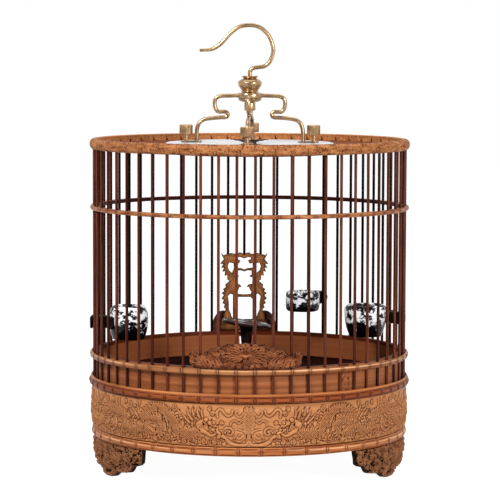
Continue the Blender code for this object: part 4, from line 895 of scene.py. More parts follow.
def sawn(loops, thickness, cell, edge, relief=None):
    """A board cut to an outline with holes, its faces divided into cells and rounded down to the edge.

    The board lies in its own plane: x across, y up and z through it, with the carved face at +z.
    """
    curve = bpy.data.curves.new("outline", "CURVE")
    curve.dimensions = "2D"
    curve.fill_mode = "BOTH"
    curve.extrude = thickness / 2
    for loop in loops:
        spline = curve.splines.new("POLY")
        spline.points.add(len(loop) - 1)
        for point, (x, y) in zip(spline.points, loop):
            point.co = (x, y, 0.0, 1.0)
        spline.use_cyclic_u = True
    holder = bpy.data.objects.new("outline", curve)
    bpy.context.scene.collection.objects.link(holder)
    bpy.context.view_layer.update()
    flat = bpy.data.meshes.new_from_object(holder.evaluated_get(bpy.context.evaluated_depsgraph_get()))
    bpy.data.objects.remove(holder)
    bpy.data.curves.remove(curve)
    bm = bmesh.new()
    bm.from_mesh(flat)
    bmesh.ops.remove_doubles(bm, verts=bm.verts, dist=1e-5)
    low = [min(v.co[k] for v in bm.verts) for k in range(2)]
    high = [max(v.co[k] for v in bm.verts) for k in range(2)]
    for k in range(2):
        for step in range(1, int((high[k] - low[k]) / cell) + 1):
            where = [0.0, 0.0, 0.0]
            way = [0.0, 0.0, 0.0]
            where[k] = low[k] + (step - 0.37) * cell
            way[k] = 1.0
            bmesh.ops.bisect_plane(bm, geom=bm.verts[:] + bm.edges[:] + bm.faces[:], dist=1e-6,
                                   plane_co=where, plane_no=way)
    spots = np.array([v.co for v in bm.verts])
    far = np.full(len(spots), 1.0)
    for loop in loops:
        loop = np.array(loop)
        for start_point, end_point in zip(loop, np.roll(loop, -1, 0)):
            run = end_point - start_point
            share = np.clip(((spots[:, :2] - start_point) @ run) / max(run @ run, 1e-12), 0, 1)
            far = np.minimum(far, np.hypot(*(spots[:, :2] - start_point - share[:, None] * run).T))
    drop = edge * (1.0 - np.sqrt(np.clip(1.0 - (1.0 - np.clip(far / edge, 0, 1)) ** 2, 0, 1)))
    height = relief(spots[:, 0], spots[:, 1]) if relief else 0.0 * far
    height = height * np.clip(far / edge, 0, 1)
    for v, down, rise in zip(bm.verts, drop, height):
        v.co.z -= math.copysign(down - rise, v.co.z)
    bm.to_mesh(flat)
    bm.free()
    if relief:
        # Painted shade: the value falls towards the sawn edges, and rises with the relief
        values = flat.attributes.new("carve", "FLOAT", "POINT")
        shade = np.clip(far / (edge * 2.0), 0, 1) * 0.75 + 0.25 * height / max(height.max(), 1e-9)
        values.data.foreach_set("value", shade.astype(np.float32))
    return flat


def laid(mesh, place):
    """Move a mesh to its place."""
    mesh.transform(place)
    return mesh


def circle(x, y, radius, sides=20):
    """A round hole's outline."""
    return [(x + radius * math.cos(math.tau * s / sides), y + radius * math.sin(math.tau * s / sides))
            for s in range(sides)]


arm_turns = {side: ARM_TURN + index * math.tau / 4 for index, side in enumerate(ARM_SIDES)}
knob_spots = {side: (KNOB_CIRCLE * math.sin(turn), -KNOB_CIRCLE * math.cos(turn))
              for side, turn in arm_turns.items()}
parting_centre = PLATE_PARTING + PLATE_ARC_RADIUS
meet_x = (PLATE_RADIUS ** 2 - PLATE_ARC_RADIUS ** 2 + parting_centre ** 2) / (2 * parting_centre)
meet_y = math.sqrt(PLATE_RADIUS ** 2 - meet_x ** 2)
rim_turn = math.atan2(meet_y, meet_x)
sweep = math.asin(meet_y / PLATE_ARC_RADIUS)
right_loop = [(PLATE_RADIUS * math.cos(a), PLATE_RADIUS * math.sin(a))
              for a in (rim_turn * (step / 30 - 1) for step in range(61))]
right_loop += [(parting_centre - PLATE_ARC_RADIUS * math.cos(a), PLATE_ARC_RADIUS * math.sin(a))
               for a in (sweep * (1 - step / 10) for step in range(1, 20))]
plate_place = Matrix.Translation((0, 0, (PLATE_BOTTOM + PLATE_TOP) / 2))

# Polished bone: off-white, with a soft gloss and grey streaks 6 mm apart, a painted reflection
polished_bone, tree, shader, where = start("polished_bone")
stretched = add(tree, "Mapping", {"Vector": where, "Scale": (45.0, 160.0, 45.0)})
streak_noise = add(tree, "TexNoise", {"Vector": stretched, "Scale": 1.0, "Detail": 5.0, "Roughness": 0.6})
reflection_streaks = add(tree, "MapRange", {0: streak_noise, 1: 0.4, 2: 0.7})
tone = add(tree, "Mix", {0: reflection_streaks, 6: "D0D0D4", 7: "A0A2AA"}, 2, data_type="RGBA")
feed(tree, shader, {"Base Color": tone,
                    "Roughness": add(tree, "MapRange", {0: streak_noise, 1: 0.3, 2: 0.7, 3: 0.15, 4: 0.3})})
for side, mirror in (("right", 1), ("left", -1)):
    loop = [(mirror * x, y) for x, y in right_loop]
    hole = circle(*knob_spots[side], PIN_HOLE)
    plate = sawn([loop, hole], PLATE_TOP - PLATE_BOTTOM, cell=0.006, edge=0.0006)
    settle("plate_" + side, laid(plate, plate_place), polished_bone, "cage", ["top_plate_" + side])

# The middle plate between them: ebonised wood whose edges are cut in small flames over the parting
FLAME_PITCH = 0.0042
FLAME_DEPTH = 0.0022
PARTING_GAP = 0.0003
CORNER_GAP = 0.004
MIDDLE_HALF_WIDTH = 0.035
MIDDLE_REACH = 0.085
edge_y = np.arange(-meet_y + CORNER_GAP, meet_y - CORNER_GAP, FLAME_PITCH / 2)
edge_x = parting_centre - PARTING_GAP - np.sqrt((PLATE_ARC_RADIUS + PARTING_GAP) ** 2 - edge_y ** 2)
saw = [(x - FLAME_DEPTH * (place % 2), y) for place, (x, y) in enumerate(zip(edge_x, edge_y))]
cap = [(PLATE_RADIUS * math.cos(a), PLATE_RADIUS * math.sin(a))
       for a in np.linspace(rim_turn + 0.02, math.pi - rim_turn - 0.02, 14)]
middle_loop = saw + cap + [(-x, -y) for x, y in saw] + [(-x, -y) for x, y in cap]
middle_lines = cloud_field(MIDDLE_HALF_WIDTH, -MIDDLE_REACH, MIDDLE_REACH, 0.0075, 8, 0.0011, 0.0007)


def spot_ridges(lines):
    """A relief for scattered points, from the same ridge lines."""
    def relief(x, y):
        order = np.argsort(x)
        height = np.zeros(len(x))
        height[order] = ridges(x[order], y[order][None, :], lines)[0]
        return height
    return relief


middle = sawn([middle_loop, circle(*knob_spots["front"], PIN_HOLE), circle(*knob_spots["back"], PIN_HOLE)],
              PLATE_TOP - PLATE_BOTTOM, 0.0016, 0.0005, spot_ridges(middle_lines))
# Hardwood stained black, with a brown cast where its raised lines are rubbed
ebonised = wood("ebonised_carved_wood", "3A1E14", "1E0C06", (120.0, 20.0, 120.0), (0.3, 0.5),
                hollow="080201")
settle("plate_middle_carved", laid(middle, plate_place), ebonised, "cage",
       ["top_plate_middle"])

# Front plaque: a fretted board of red-brown wood on the lower hoop, carved with a dragon's mask, a mane
# that fans out from it, and cloud scrolls to the two ends.
PLAQUE_INNER = 0.16295
PLAQUE_OUTER = 0.16665
PLAQUE_HALF_WIDTH = 0.056
PLAQUE_BOTTOM = 0.1206
PLAQUE_HEIGHT = 0.0262
PLAQUE_TURN = math.radians(-1.18)
MASK_LEVEL = 0.0122
PLAQUE_TOP_EDGE = [(0.0, 1.0), (0.05, 0.97), (0.10, 0.96), (0.14, 0.985), (0.17, 0.99), (0.21, 0.95),
                   (0.25, 0.92), (0.29, 0.95), (0.34, 0.95), (0.38, 0.88), (0.42, 0.84), (0.455, 0.865),
                   (0.49, 0.86), (0.53, 0.80), (0.56, 0.76), (0.60, 0.77), (0.63, 0.75), (0.67, 0.69),
                   (0.70, 0.66), (0.74, 0.60), (0.78, 0.51), (0.81, 0.48), (0.84, 0.52), (0.88, 0.60),
                   (0.92, 0.64), (0.95, 0.62), (0.98, 0.60), (1.0, 0.54)]
PLAQUE_LOW_EDGE = [(0.0, 0.0), (0.76, 0.0), (0.84, 0.03), (0.93, 0.05), (0.97, 0.12), (0.99, 0.2),
                   (1.0, 0.5)]
plaque_low = along(PLAQUE_LOW_EDGE, PLAQUE_HALF_WIDTH, PLAQUE_HEIGHT)
plaque_high = along(PLAQUE_TOP_EDGE, PLAQUE_HALF_WIDTH, PLAQUE_HEIGHT)
plaque_lines = []
for hand in (-1, 1):
    for near, long, first in ((0.0048, 0.0105, -40), (0.0100, 0.0165, -34), (0.0155, 0.0225, -28)):
        for step in range(9):
            # The mane: three tiers of locks that leave the mask and fan out from it
            angle = math.radians(first + 15.4 * step)
            bend, end = angle - 0.12, angle - 0.16
            lock = [(near * math.cos(angle), near * 0.66 * math.sin(angle), .0005, .0014),
                    (long * 0.85 * math.cos(angle), long * 0.56 * math.sin(angle), .0006, .0018),
                    (long * math.cos(end), long * 0.66 * math.sin(bend), .0004, .0012)]
            lock = [(hand * x, MASK_LEVEL + y, width, rise) for x, y, width, rise in lock]
            plaque_lines.append(flow(lock))
    for step in range(7):
        x = hand * (0.0225 + 0.0037 * step)
        plaque_lines.append(flow([(x, 0.003, .0007, .001), (x + hand * 0.003, 0.0085, .0010, .0014),
                                  (x + hand * 0.0085, 0.0135 - 0.0006 * step, .0005, .0010)]))
    for x, y, size in ((23, 16, 2.6), (29, 13.6, 2.4), (35, 11.6, 2.6), (41, 10.4, 2.2), (46, 13.2, 2.6),
                       (51, 14.8, 2.4), (52, 8.6, 2.6), (47, 5.4, 2.4), (41, 4.2, 2.2), (34, 5.4, 2.4),
                       (27, 5, 2.2), (20, 4.4, 2), (13, 4, 2.2), (6, 3.4, 1.8), (16, 19.4, 2.4),
                       (9, 22.4, 2.2), (2.6, 23, 1.8), (54, 12, 1.6)):
        # Cloud scrolls, in millimetres from the plaque's foot
        plaque_lines.append(scroll(hand * x * 0.001, y * 0.001, size * 0.00105, 1.2, 0.7 * x, hand,
                                   .0007, .0014))
# The mask's nose and its two eyes
plaque_lines.append(flow([(-0.006, 0.0150, .0008, .0014), (0, 0.0128, .0015, .0020),
                          (0.006, 0.0150, .0008, .0014)]))
for x in (-0.0035, 0.0035):
    plaque_lines.append(flow([(x, 0.0185, .0012, .0016), (x + 0.0001, 0.0184, .0012, .0016)]))
# Small curls fill the ground between
plaque_lines += cloud_field(PLAQUE_HALF_WIDTH, 0.0, PLAQUE_HEIGHT, 0.0034, 21, 0.00045, 0.0008)
plaque = curtain(PLAQUE_HALF_WIDTH, plaque_low, plaque_high, PLAQUE_INNER, PLAQUE_OUTER,
                 lambda across, up: ridges(across, up, plaque_lines), PLAQUE_TURN,
                 rows=66, pitch=0.0004, depth=0.0018)
plaque.transform(Matrix.Translation((0, 0, PLAQUE_BOTTOM)))
# Red-brown wood, the raised lines rubbed bright and the hollows painted nearly black as shade
plaque_wood = wood("rubbed_and_shaded_carved_wood", "A2643E", "5A2A16", (60.0, 60.0, 200.0), (0.3, 0.45),
                   hollow="2C0A03")
settle("plaque_carved", plaque, plaque_wood, "cage", ["front_plaque"], 75)

# Rear board: a plain board with a humped top, bent to the ring and lacquered dark. It stands on the
# lower hoop, behind the foot of the door.
REAR_INNER = 0.1636
REAR_OUTER = 0.1669
REAR_HALF_WIDTH = 0.0362
REAR_HEIGHT = 0.0225
DOOR_TURN = bar_turn(DOOR_BAR)
REAR_EDGE = flow([(0.0, 0.30), (0.20, 0.34), (0.32, 0.55), (0.44, 0.84), (0.58, 0.99), (0.72, 1.0),
                  (0.84, 0.86), (0.94, 0.60), (1.0, 0.30)])
rear_low = along([(0.0, 0.0), (1.0, 0.0)], REAR_HALF_WIDTH, REAR_HEIGHT)
rear = curtain(REAR_HALF_WIDTH, rear_low, along(REAR_EDGE, REAR_HALF_WIDTH, REAR_HEIGHT), REAR_INNER,
               REAR_OUTER, lambda across, up: 0.0 * up, DOOR_TURN, rows=16, pitch=0.001, depth=0.0014)
rear.transform(Matrix.Translation((0, 0, PLAQUE_BOTTOM)))
# Dark brown lacquer on wood, with a weak gloss
dark_lacquer = wood("dark_lacquered_wood", "5C3C32", "402822", (40.0, 40.0, 160.0), (0.3, 0.4), coat=0.05)
settle("rear_board_humped", rear, dark_lacquer, "cage", ["rear_board"])

# Sliding door: three bars over an openwork panel of two dragons that face each other, sawn from
# orange-brown wood, with painted shade at its spiked edges.
PANEL_RADIUS = 0.1608
PANEL_THICKNESS = 0.005
PANEL_HALF_WIDTH = 0.027
PANEL_BOTTOM = 0.1218
PANEL_HEIGHT = 0.0864
PAINTED_SHADE_FOOT = 0.0125
DOOR_BAR_BOTTOM = 0.2055
EDGE_SHARES = [(0.0, 0.968), (0.09, 0.992), (0.20, 0.998), (0.29, 0.977), (0.42, 0.983), (0.54, 0.990),
               (0.71, 0.977), (0.85, 0.963), (0.95, 0.995), (0.89, 0.944), (0.83, 0.912), (0.98, 0.855),
               (0.85, 0.848), (0.95, 0.803), (0.83, 0.803), (0.89, 0.752), (0.78, 0.759), (0.80, 0.701),
               (0.69, 0.707), (0.69, 0.649), (0.60, 0.632), (0.78, 0.585), (0.75, 0.553), (0.87, 0.528),
               (0.81, 0.502), (0.93, 0.477), (0.83, 0.451), (0.93, 0.406), (0.83, 0.387), (0.89, 0.348),
               (0.79, 0.330), (0.84, 0.292), (0.75, 0.272), (0.85, 0.208), (0.89, 0.143), (1.0, 0.143),
               (1.0, 0.0)]
HEAD_HOLE = [(0.0, 0.919), (0.16, 0.939), (0.26, 0.934), (0.27, 0.911), (0.15, 0.893), (0.22, 0.855),
             (0.34, 0.861), (0.34, 0.803), (0.12, 0.795), (0.0, 0.778)]
HEART_HOLE = [(0.0, 0.752), (0.12, 0.767), (0.30, 0.765), (0.30, 0.709), (0.20, 0.697), (0.26, 0.682),
              (0.33, 0.682), (0.33, 0.593), (0.24, 0.593), (0.15, 0.580), (0.10, 0.553), (0.19, 0.557),
              (0.24, 0.515), (0.30, 0.490), (0.26, 0.464), (0.0, 0.459)]
ARCH_HOLE = [(0.0, 0.426), (0.26, 0.426), (0.34, 0.400), (0.34, 0.143), (0.0, 0.143)]
NECK_HOLE = [(0.44, 0.861), (0.62, 0.868), (0.68, 0.823), (0.63, 0.772), (0.50, 0.735), (0.42, 0.797)]
TAIL_HOLE = [(0.46, 0.457), (0.57, 0.470), (0.67, 0.439), (0.63, 0.361), (0.63, 0.272), (0.54, 0.208),
             (0.51, 0.150), (0.46, 0.150)]


def both_sides(half):
    """A closed outline from its right half."""
    right = [(a * PANEL_HALF_WIDTH, u * PANEL_HEIGHT) for a, u in half]
    return right + [(-x, y) for x, y in reversed(right) if x > 0]


panel_loops = [both_sides(half) for half in (EDGE_SHARES, HEAD_HOLE, HEART_HOLE, ARCH_HOLE)]
for half in (NECK_HOLE, TAIL_HOLE):
    hole = [(a * PANEL_HALF_WIDTH, u * PANEL_HEIGHT) for a, u in half]
    panel_loops += [hole, [(-x, y) for x, y in hole]]
panel_lines = []
for hand in (-1, 1):
    for route in ([(0.60, 0.90), (0.75, 0.82), (0.72, 0.72), (0.55, 0.66), (0.47, 0.60), (0.58, 0.54),
                   (0.74, 0.47), (0.78, 0.38), (0.73, 0.28), (0.68, 0.20), (0.74, 0.10)],
                  [(0.30, 0.95), (0.50, 0.93), (0.66, 0.95), (0.80, 0.93)],
                  [(0.20, 0.06), (0.60, 0.07), (0.95, 0.06)]):
        route = [(hand * a * PANEL_HALF_WIDTH, u * PANEL_HEIGHT, .0016, .0006) for a, u in route]
        panel_lines.append(flow(route))
panel = sawn(panel_loops, PANEL_THICKNESS - 0.0008, 0.0012, 0.0011, spot_ridges(panel_lines))
spots = np.array([v.co for v in panel.vertices])
# The board follows the ring of bars; its carved face looks into the cage
turns = math.pi - np.arcsin(spots[:, 0] / PANEL_RADIUS) + (DOOR_TURN - math.pi)
spots = around(PANEL_RADIUS - spots[:, 2], turns, PANEL_BOTTOM + spots[:, 1])
panel.vertices.foreach_set("co", spots.astype(np.float32).ravel())
# The board's foot is painted dark as shade
panel_carve = panel.attributes["carve"]
values = np.empty(len(panel.vertices), dtype=np.float32)
panel_carve.data.foreach_get("value", values)
panel_carve.data.foreach_set("value", np.where(spots[:, 2] < PANEL_BOTTOM + PAINTED_SHADE_FOOT, 0.27 * values, values))
# Orange-brown wood, painted nearly black at its sawn edges as shade
panel_wood = wood("orange_brown_sawn_wood", "B27444", "6E4024", (160.0, 160.0, 70.0), (0.35, 0.5),
                  hollow="240802", specular=0.05)
settle("door_panel_carved", panel, panel_wood, "door", ["door_panel"], 60)
door_bars = canes([DOOR_BAR - 1, DOOR_BAR, DOOR_BAR + 1], DOOR_BAR_BOTTOM, RING_TOP)
settle("door_bars_round", door_bars, bar_cane, "door",
       ["door_bar_left", "door_bar_middle", "door_bar_right"])

# Hanger, the turned parts: a hub that holds the arms and a pear-shaped finial on it, both turned from
# brass that has aged brown. The hook's stem runs through them.
HUB_TOP = 0.3872
HUB_HEIGHT = 0.0098
HUB_RADIUS = 0.0129
FINIAL_BOTTOM = 0.3875
FINIAL_HEIGHT = 0.0167
FINIAL_RADIUS = 0.0124
ROD_RADIUS = 0.00215
HUB_LINE = [(0.19, 1.0), (0.60, 1.0), (0.62, 0.975), (0.90, 0.965), (0.97, 0.93), (1.0, 0.88),
            (1.0, 0.50), (0.985, 0.44), (0.90, 0.36), (0.93, 0.28), (0.88, 0.18), (0.70, 0.06),
            (0.465, 0.0), (0.19, 0.0)]
FINIAL_LINE = [(0.20, 0.93), (0.50, 0.93), (0.66, 0.965), (0.72, 1.0), (0.715, 0.975), (0.62, 0.93),
               (0.53, 0.875), (0.60, 0.83), (0.78, 0.775), (0.92, 0.70), (0.99, 0.63), (1.0, 0.57),
               (0.985, 0.48), (0.93, 0.385), (0.84, 0.28), (0.75, 0.19), (0.69, 0.13), (0.68, 0.09),
               (0.72, 0.07), (0.74, 0.04), (0.72, 0.0), (0.20, 0.0)]


def turned(table, radius, bottom, height, sides=72):
    """A closed turning from a table of shares of its radius and height."""
    grid, _ = ring([(a * radius, bottom + u * height, 0) for a, u in table], sides)
    return grid


def brass(name, bright, aged, scale, roughness, brushed=0.0):
    """Aged brass: warm metal with patches of browner tarnish, brushed where brushed is over zero."""
    mat, tree, shader, where = start(name)
    patch = add(tree, "TexNoise", {"Vector": where, "Scale": 110.0, "Detail": 4.0, "Roughness": 0.6})
    stretched = add(tree, "Mapping", {"Vector": where, "Scale": scale})
    fine = add(tree, "TexNoise", {"Vector": stretched, "Scale": 1.0, "Detail": 3.0, "Roughness": 0.6})
    tarnish = add(tree, "MapRange", {0: patch, 1: 0.42, 2: 0.72})
    tone = add(tree, "Mix", {0: tarnish, 6: bright, 7: aged}, 2, data_type="RGBA")
    worn = add(tree, "MapRange", {0: fine, 1: 0.4, 2: 0.8, 4: brushed})
    tone = add(tree, "Mix", {0: worn, 6: tone, 7: aged}, 2, data_type="RGBA")
    feed(tree, shader, {
        "Base Color": tone, "Metallic": 1.0,
        "Roughness": add(tree, "MapRange", {0: fine, 1: 0.3, 2: 0.7, 3: roughness[0], 4: roughness[1]}),
        "Normal": add(tree, "Bump", {"Height": fine, "Distance": 0.00001, "Strength": 0.2 + brushed})})
    return mat


aged_brass = brass("aged_brass", "BC9C76", "8A6E50", (300.0, 300.0, 300.0), (0.27, 0.33))
grid = turned(HUB_LINE, HUB_RADIUS, HUB_TOP - HUB_HEIGHT, HUB_HEIGHT)
settle("hub_turned", surface(grid, True, True), aged_brass, "cage", ["hub"])
grid = turned(FINIAL_LINE, FINIAL_RADIUS, FINIAL_BOTTOM, FINIAL_HEIGHT)
settle("finial_turned", surface(grid, True, True), aged_brass, "cage", ["finial"])

# Hook: one brass rod, bent by hand and tapered to its tip, that swivels in the hub. A round nut on its
# stem under the hub holds it in.
HOOK_REACH = 0.0522
HOOK_HEIGHT = 0.0523
HOOK_FOOT = 0.4042
STEM_END = 0.373
HOOK_LINE = [(-1.0, 0.503), (-0.868, 0.511), (-0.766, 0.522), (-0.667, 0.568), (-0.565, 0.648),
             (-0.464, 0.757), (-0.343, 0.880), (-0.203, 0.971), (-0.019, 1.0), (0.163, 0.971),
             (0.326, 0.849), (0.416, 0.698), (0.456, 0.537), (0.446, 0.417), (0.385, 0.277),
             (0.284, 0.195), (0.163, 0.176), (0.061, 0.155), (0.0, 0.085), (0.0, 0.0)]
NUT_TOP = 0.3771
NUT_HEIGHT = 0.0084
NUT_RADIUS = 0.0058
hook_route = [(a * HOOK_REACH, 0.0, HOOK_FOOT + u * HOOK_HEIGHT) for a, u in HOOK_LINE]
hook_route = flow(hook_route + [(0, 0, STEM_END)], 8)
taper = [ROD_RADIUS * (0.74 + 0.26 * min(1.0, step / 30)) for step in range(len(hook_route))]
hook = tube(rounded([(*p, r) for p, r in zip(hook_route, taper)], 0.0009), 24, up=(0.0, 1.0, 0.0))
settle("hook_bent", hook, aged_brass, "hook", ["hook"])
NUT_LINE = [(0.0, 1.0), (0.88, 1.0), (0.97, 0.96), (1.0, 0.90), (1.0, 0.10), (0.97, 0.04), (0.88, 0.0),
            (0.0, 0.0)]
grid = turned(NUT_LINE, NUT_RADIUS, NUT_TOP - NUT_HEIGHT, NUT_HEIGHT)
settle("hook_nut_turned", surface(grid, False, True), aged_brass, "hook", ["hook_nut"])

# Arms: four cranked brass rods from the hub down to the plates. Each is beaten flat at its foot to a
# drilled tab that its thumb screw holds down.
ARM_RADIUS = 0.0021
ARM_SPREAD = 0.055
ARM_LEVEL = 0.3842
TAB_BOTTOM = 0.3361
TAB_THICKNESS = 0.0015
TAB_RADIUS = 0.0055
ARM_LINE = [(0.19, 1.0), (0.40, 0.993), (0.546, 0.985), (0.632, 0.94), (0.662, 0.85), (0.648, 0.73),
            (0.600, 0.655), (0.520, 0.650), (0.452, 0.645), (0.412, 0.592), (0.452, 0.532),
            (0.555, 0.525), (0.71, 0.510), (0.853, 0.482), (0.944, 0.415), (0.987, 0.310),
            (1.0, 0.180), (1.0, 0.016)]
arm_drop = ARM_LEVEL - TAB_BOTTOM
arm_route = flow([(0.0, -a * ARM_SPREAD, TAB_BOTTOM + u * arm_drop) for a, u in ARM_LINE])
half_turn = np.linspace(0, math.pi, 13)
tab_loop = [(TAB_RADIUS * math.cos(a), -ARM_SPREAD + TAB_RADIUS * math.sin(a)) for a in half_turn]
tab_loop += [(-TAB_RADIUS * math.cos(a), -KNOB_CIRCLE - TAB_RADIUS * math.sin(a)) for a in half_turn]
for side, turn in arm_turns.items():
    arm = tube([(*p, ARM_RADIUS) for p in arm_route], 20, up=(1.0, 0.0, 0.0))
    tab = sawn([tab_loop, circle(0.0, -KNOB_CIRCLE, PIN_HOLE)], TAB_THICKNESS, cell=0.003, edge=0.0004)
    tab = laid(tab, Matrix.Translation((0, 0, TAB_BOTTOM + TAB_THICKNESS / 2)))
    both = laid(joined([arm, tab]), Matrix.Rotation(turn, 4, "Z"))
    settle("arm_" + side + "_bent", both, aged_brass, "cage", ["arm_" + side])

# Thumb screws: four knobs of brushed brass, fluted for the fingers, on pins that go through the tabs and
# the plates into the grille board.
KNOB_BOTTOM = 0.3440
KNOB_HEIGHT = 0.0100
KNOB_RADIUS = 0.0069
PIN_BOTTOM = 0.3280
FLUTES = 48
FLUTE_DEPTH = 0.00012
brushed_brass = brass("brushed_brass", "C6A27A", "94744E", (2400.0, 2400.0, 60.0), (0.30, 0.40), 0.3)
knob_rows = [(0.0, 1.0), (0.0052, 1.0), (0.0058, 0.985), (0.0063, 0.975), (KNOB_RADIUS, 0.93),
             (KNOB_RADIUS, 0.04), (0.0066, 0.0), (0.0026, 0.0), (ROD_RADIUS, -0.05)]
for side, turn in arm_turns.items():
    profile = [(r, KNOB_BOTTOM + u * KNOB_HEIGHT, 1.0 if r == KNOB_RADIUS else 0.0) for r, u in knob_rows]
    profile += [(ROD_RADIUS, PIN_BOTTOM + 0.0004, 0), (ROD_RADIUS - 0.0004, PIN_BOTTOM, 0),
                (0.0, PIN_BOTTOM, 0)]
    grid, _ = ring(profile, 3 * FLUTES,
                   lambda turns, level: -FLUTE_DEPTH * (1 + np.cos(turns * FLUTES)) + 0.0 * level)
    knob = laid(surface(grid, False, True), Matrix.Translation((*knob_spots[side], 0)))
    settle("knob_" + side + "_fluted", knob, brushed_brass, "thumb_screw_" + side,
           ["knob_" + side])

# Feeding cups: three cups thrown in porcelain and glazed, white with black ink patches and a black foot.
# Each sits in a holder of black-lacquered hardwood, clamped to two bars by a long nut outside them.
# For each cup: its radius, height, lowest level, distance from the axis and bar on its left, then the level
# of its holder and how far round the cup that grips, in degrees
DECK_CUPS = {
    "left": (0.0205, 0.0345, 0.1310, 0.1256, 41, 0.1485, 48),
    "right": (0.0225, 0.0330, 0.1319, 0.12465, 15, 0.1511, 34),
    "small": (0.01845, 0.0209, 0.1487, 0.1280, 23, 0.1610, 40),
}
CUP_SHARES = {
    "left": [(0.0, 0.10), (0.40, 0.105), (0.62, 0.13), (0.78, 0.22), (0.84, 0.36), (0.87, 0.55),
             (0.855, 0.72), (0.80, 0.84), (0.71, 0.93), (0.70, 0.965), (0.715, 0.995), (0.755, 1.0),
             (0.80, 0.985), (0.90, 0.91), (0.965, 0.80), (1.0, 0.66), (1.0, 0.52), (0.97, 0.34),
             (0.91, 0.18), (0.85, 0.07), (0.82, 0.0), (0.76, 0.0), (0.72, 0.03), (0.0, 0.03)],
    "right": [(0.0, 0.10), (0.36, 0.105), (0.56, 0.13), (0.70, 0.23), (0.80, 0.40), (0.87, 0.62),
              (0.89, 0.80), (0.84, 0.90), (0.77, 0.95), (0.765, 0.98), (0.79, 1.0), (0.84, 1.0),
              (0.90, 0.975), (0.965, 0.92), (1.0, 0.82), (0.995, 0.70), (0.97, 0.54), (0.92, 0.35),
              (0.85, 0.18), (0.77, 0.06), (0.73, 0.0), (0.67, 0.0), (0.64, 0.03), (0.0, 0.03)],
    "small": [(0.0, 0.14), (0.55, 0.145), (0.76, 0.17), (0.85, 0.28), (0.88, 0.50), (0.88, 0.97),
              (0.895, 1.0), (0.94, 1.0), (0.955, 0.97), (0.985, 0.90), (1.0, 0.78), (1.0, 0.30),
              (0.985, 0.16), (0.95, 0.07), (0.88, 0.0), (0.80, 0.0), (0.76, 0.04), (0.0, 0.04)],
}
# Glossy porcelain glaze over ink, its blots about 8 mm wide with a grey halo
ink_porcelain, tree, shader, where = start("ink_porcelain")
stretched = add(tree, "Mapping", {"Vector": where, "Scale": (1.0, 1.0, 1.3)})
blot = add(tree, "TexNoise", {"Vector": stretched, "Scale": 120.0, "Detail": 6.0, "Roughness": 0.68})
haze = add(tree, "TexNoise", {"Vector": where, "Scale": 90.0, "Detail": 2.0, "Roughness": 0.5})
up = add(tree, "Attribute", out=2, attribute_name="carve")
# More ink towards the foot: the patches' threshold falls with height
low = add(tree, "MapRange", {0: up, 1: 0.05, 2: 0.55, 3: 0.22, 4: 0.0})
ink = add(tree, "Math", {0: blot, 1: low}, operation="ADD")
rim = add(tree, "MapRange", {0: up, 1: 0.80, 2: 0.9, 3: 0.0, 4: 0.05})
ink = add(tree, "Math", {0: ink, 1: rim}, operation="ADD")
halo = add(tree, "MapRange", {0: ink, 1: 0.50, 2: 0.52, 4: 0.6})
cover = add(tree, "MapRange", {0: ink, 1: 0.525, 2: 0.535})
hazy = add(tree, "MapRange", {0: haze, 1: 0.5, 2: 0.75})
glaze = add(tree, "Mix", {0: hazy, 6: "FFFFFF", 7: "DCE1EA"}, 2, data_type="RGBA")
glaze = add(tree, "Mix", {0: halo, 6: glaze, 7: "6A7688"}, 2, data_type="RGBA")
glaze = add(tree, "Mix", {0: cover, 6: glaze, 7: "07070B"}, 2, data_type="RGBA")
foot = add(tree, "MapRange", {0: up, 1: 0.10, 2: 0.16, 3: 1.0, 4: 0.0})
glaze = add(tree, "Mix", {0: foot, 6: glaze, 7: "060505"}, 2, data_type="RGBA")
feed(tree, shader, {"Base Color": glaze, "Roughness": 0.12, "Specular IOR Level": 0.2, "Coat Weight": 0.04,
                    "Coat Roughness": 0.05})
CLAMP_FACE = 0.15875
NUT_FACE = 0.16235
HOLDER_HEIGHT = 0.0130
HOLDER_HALF_WIDTH = 0.013
HOLDER_NECK = 0.005
SADDLE_GAP = 0.0003
SADDLE_THICKNESS = 0.0028
CLAMP_THICKNESS = 0.003
CLAMP_ROOT = 0.004
STEM_RADIUS = 0.0025
CLAMP_NUT = 0.003
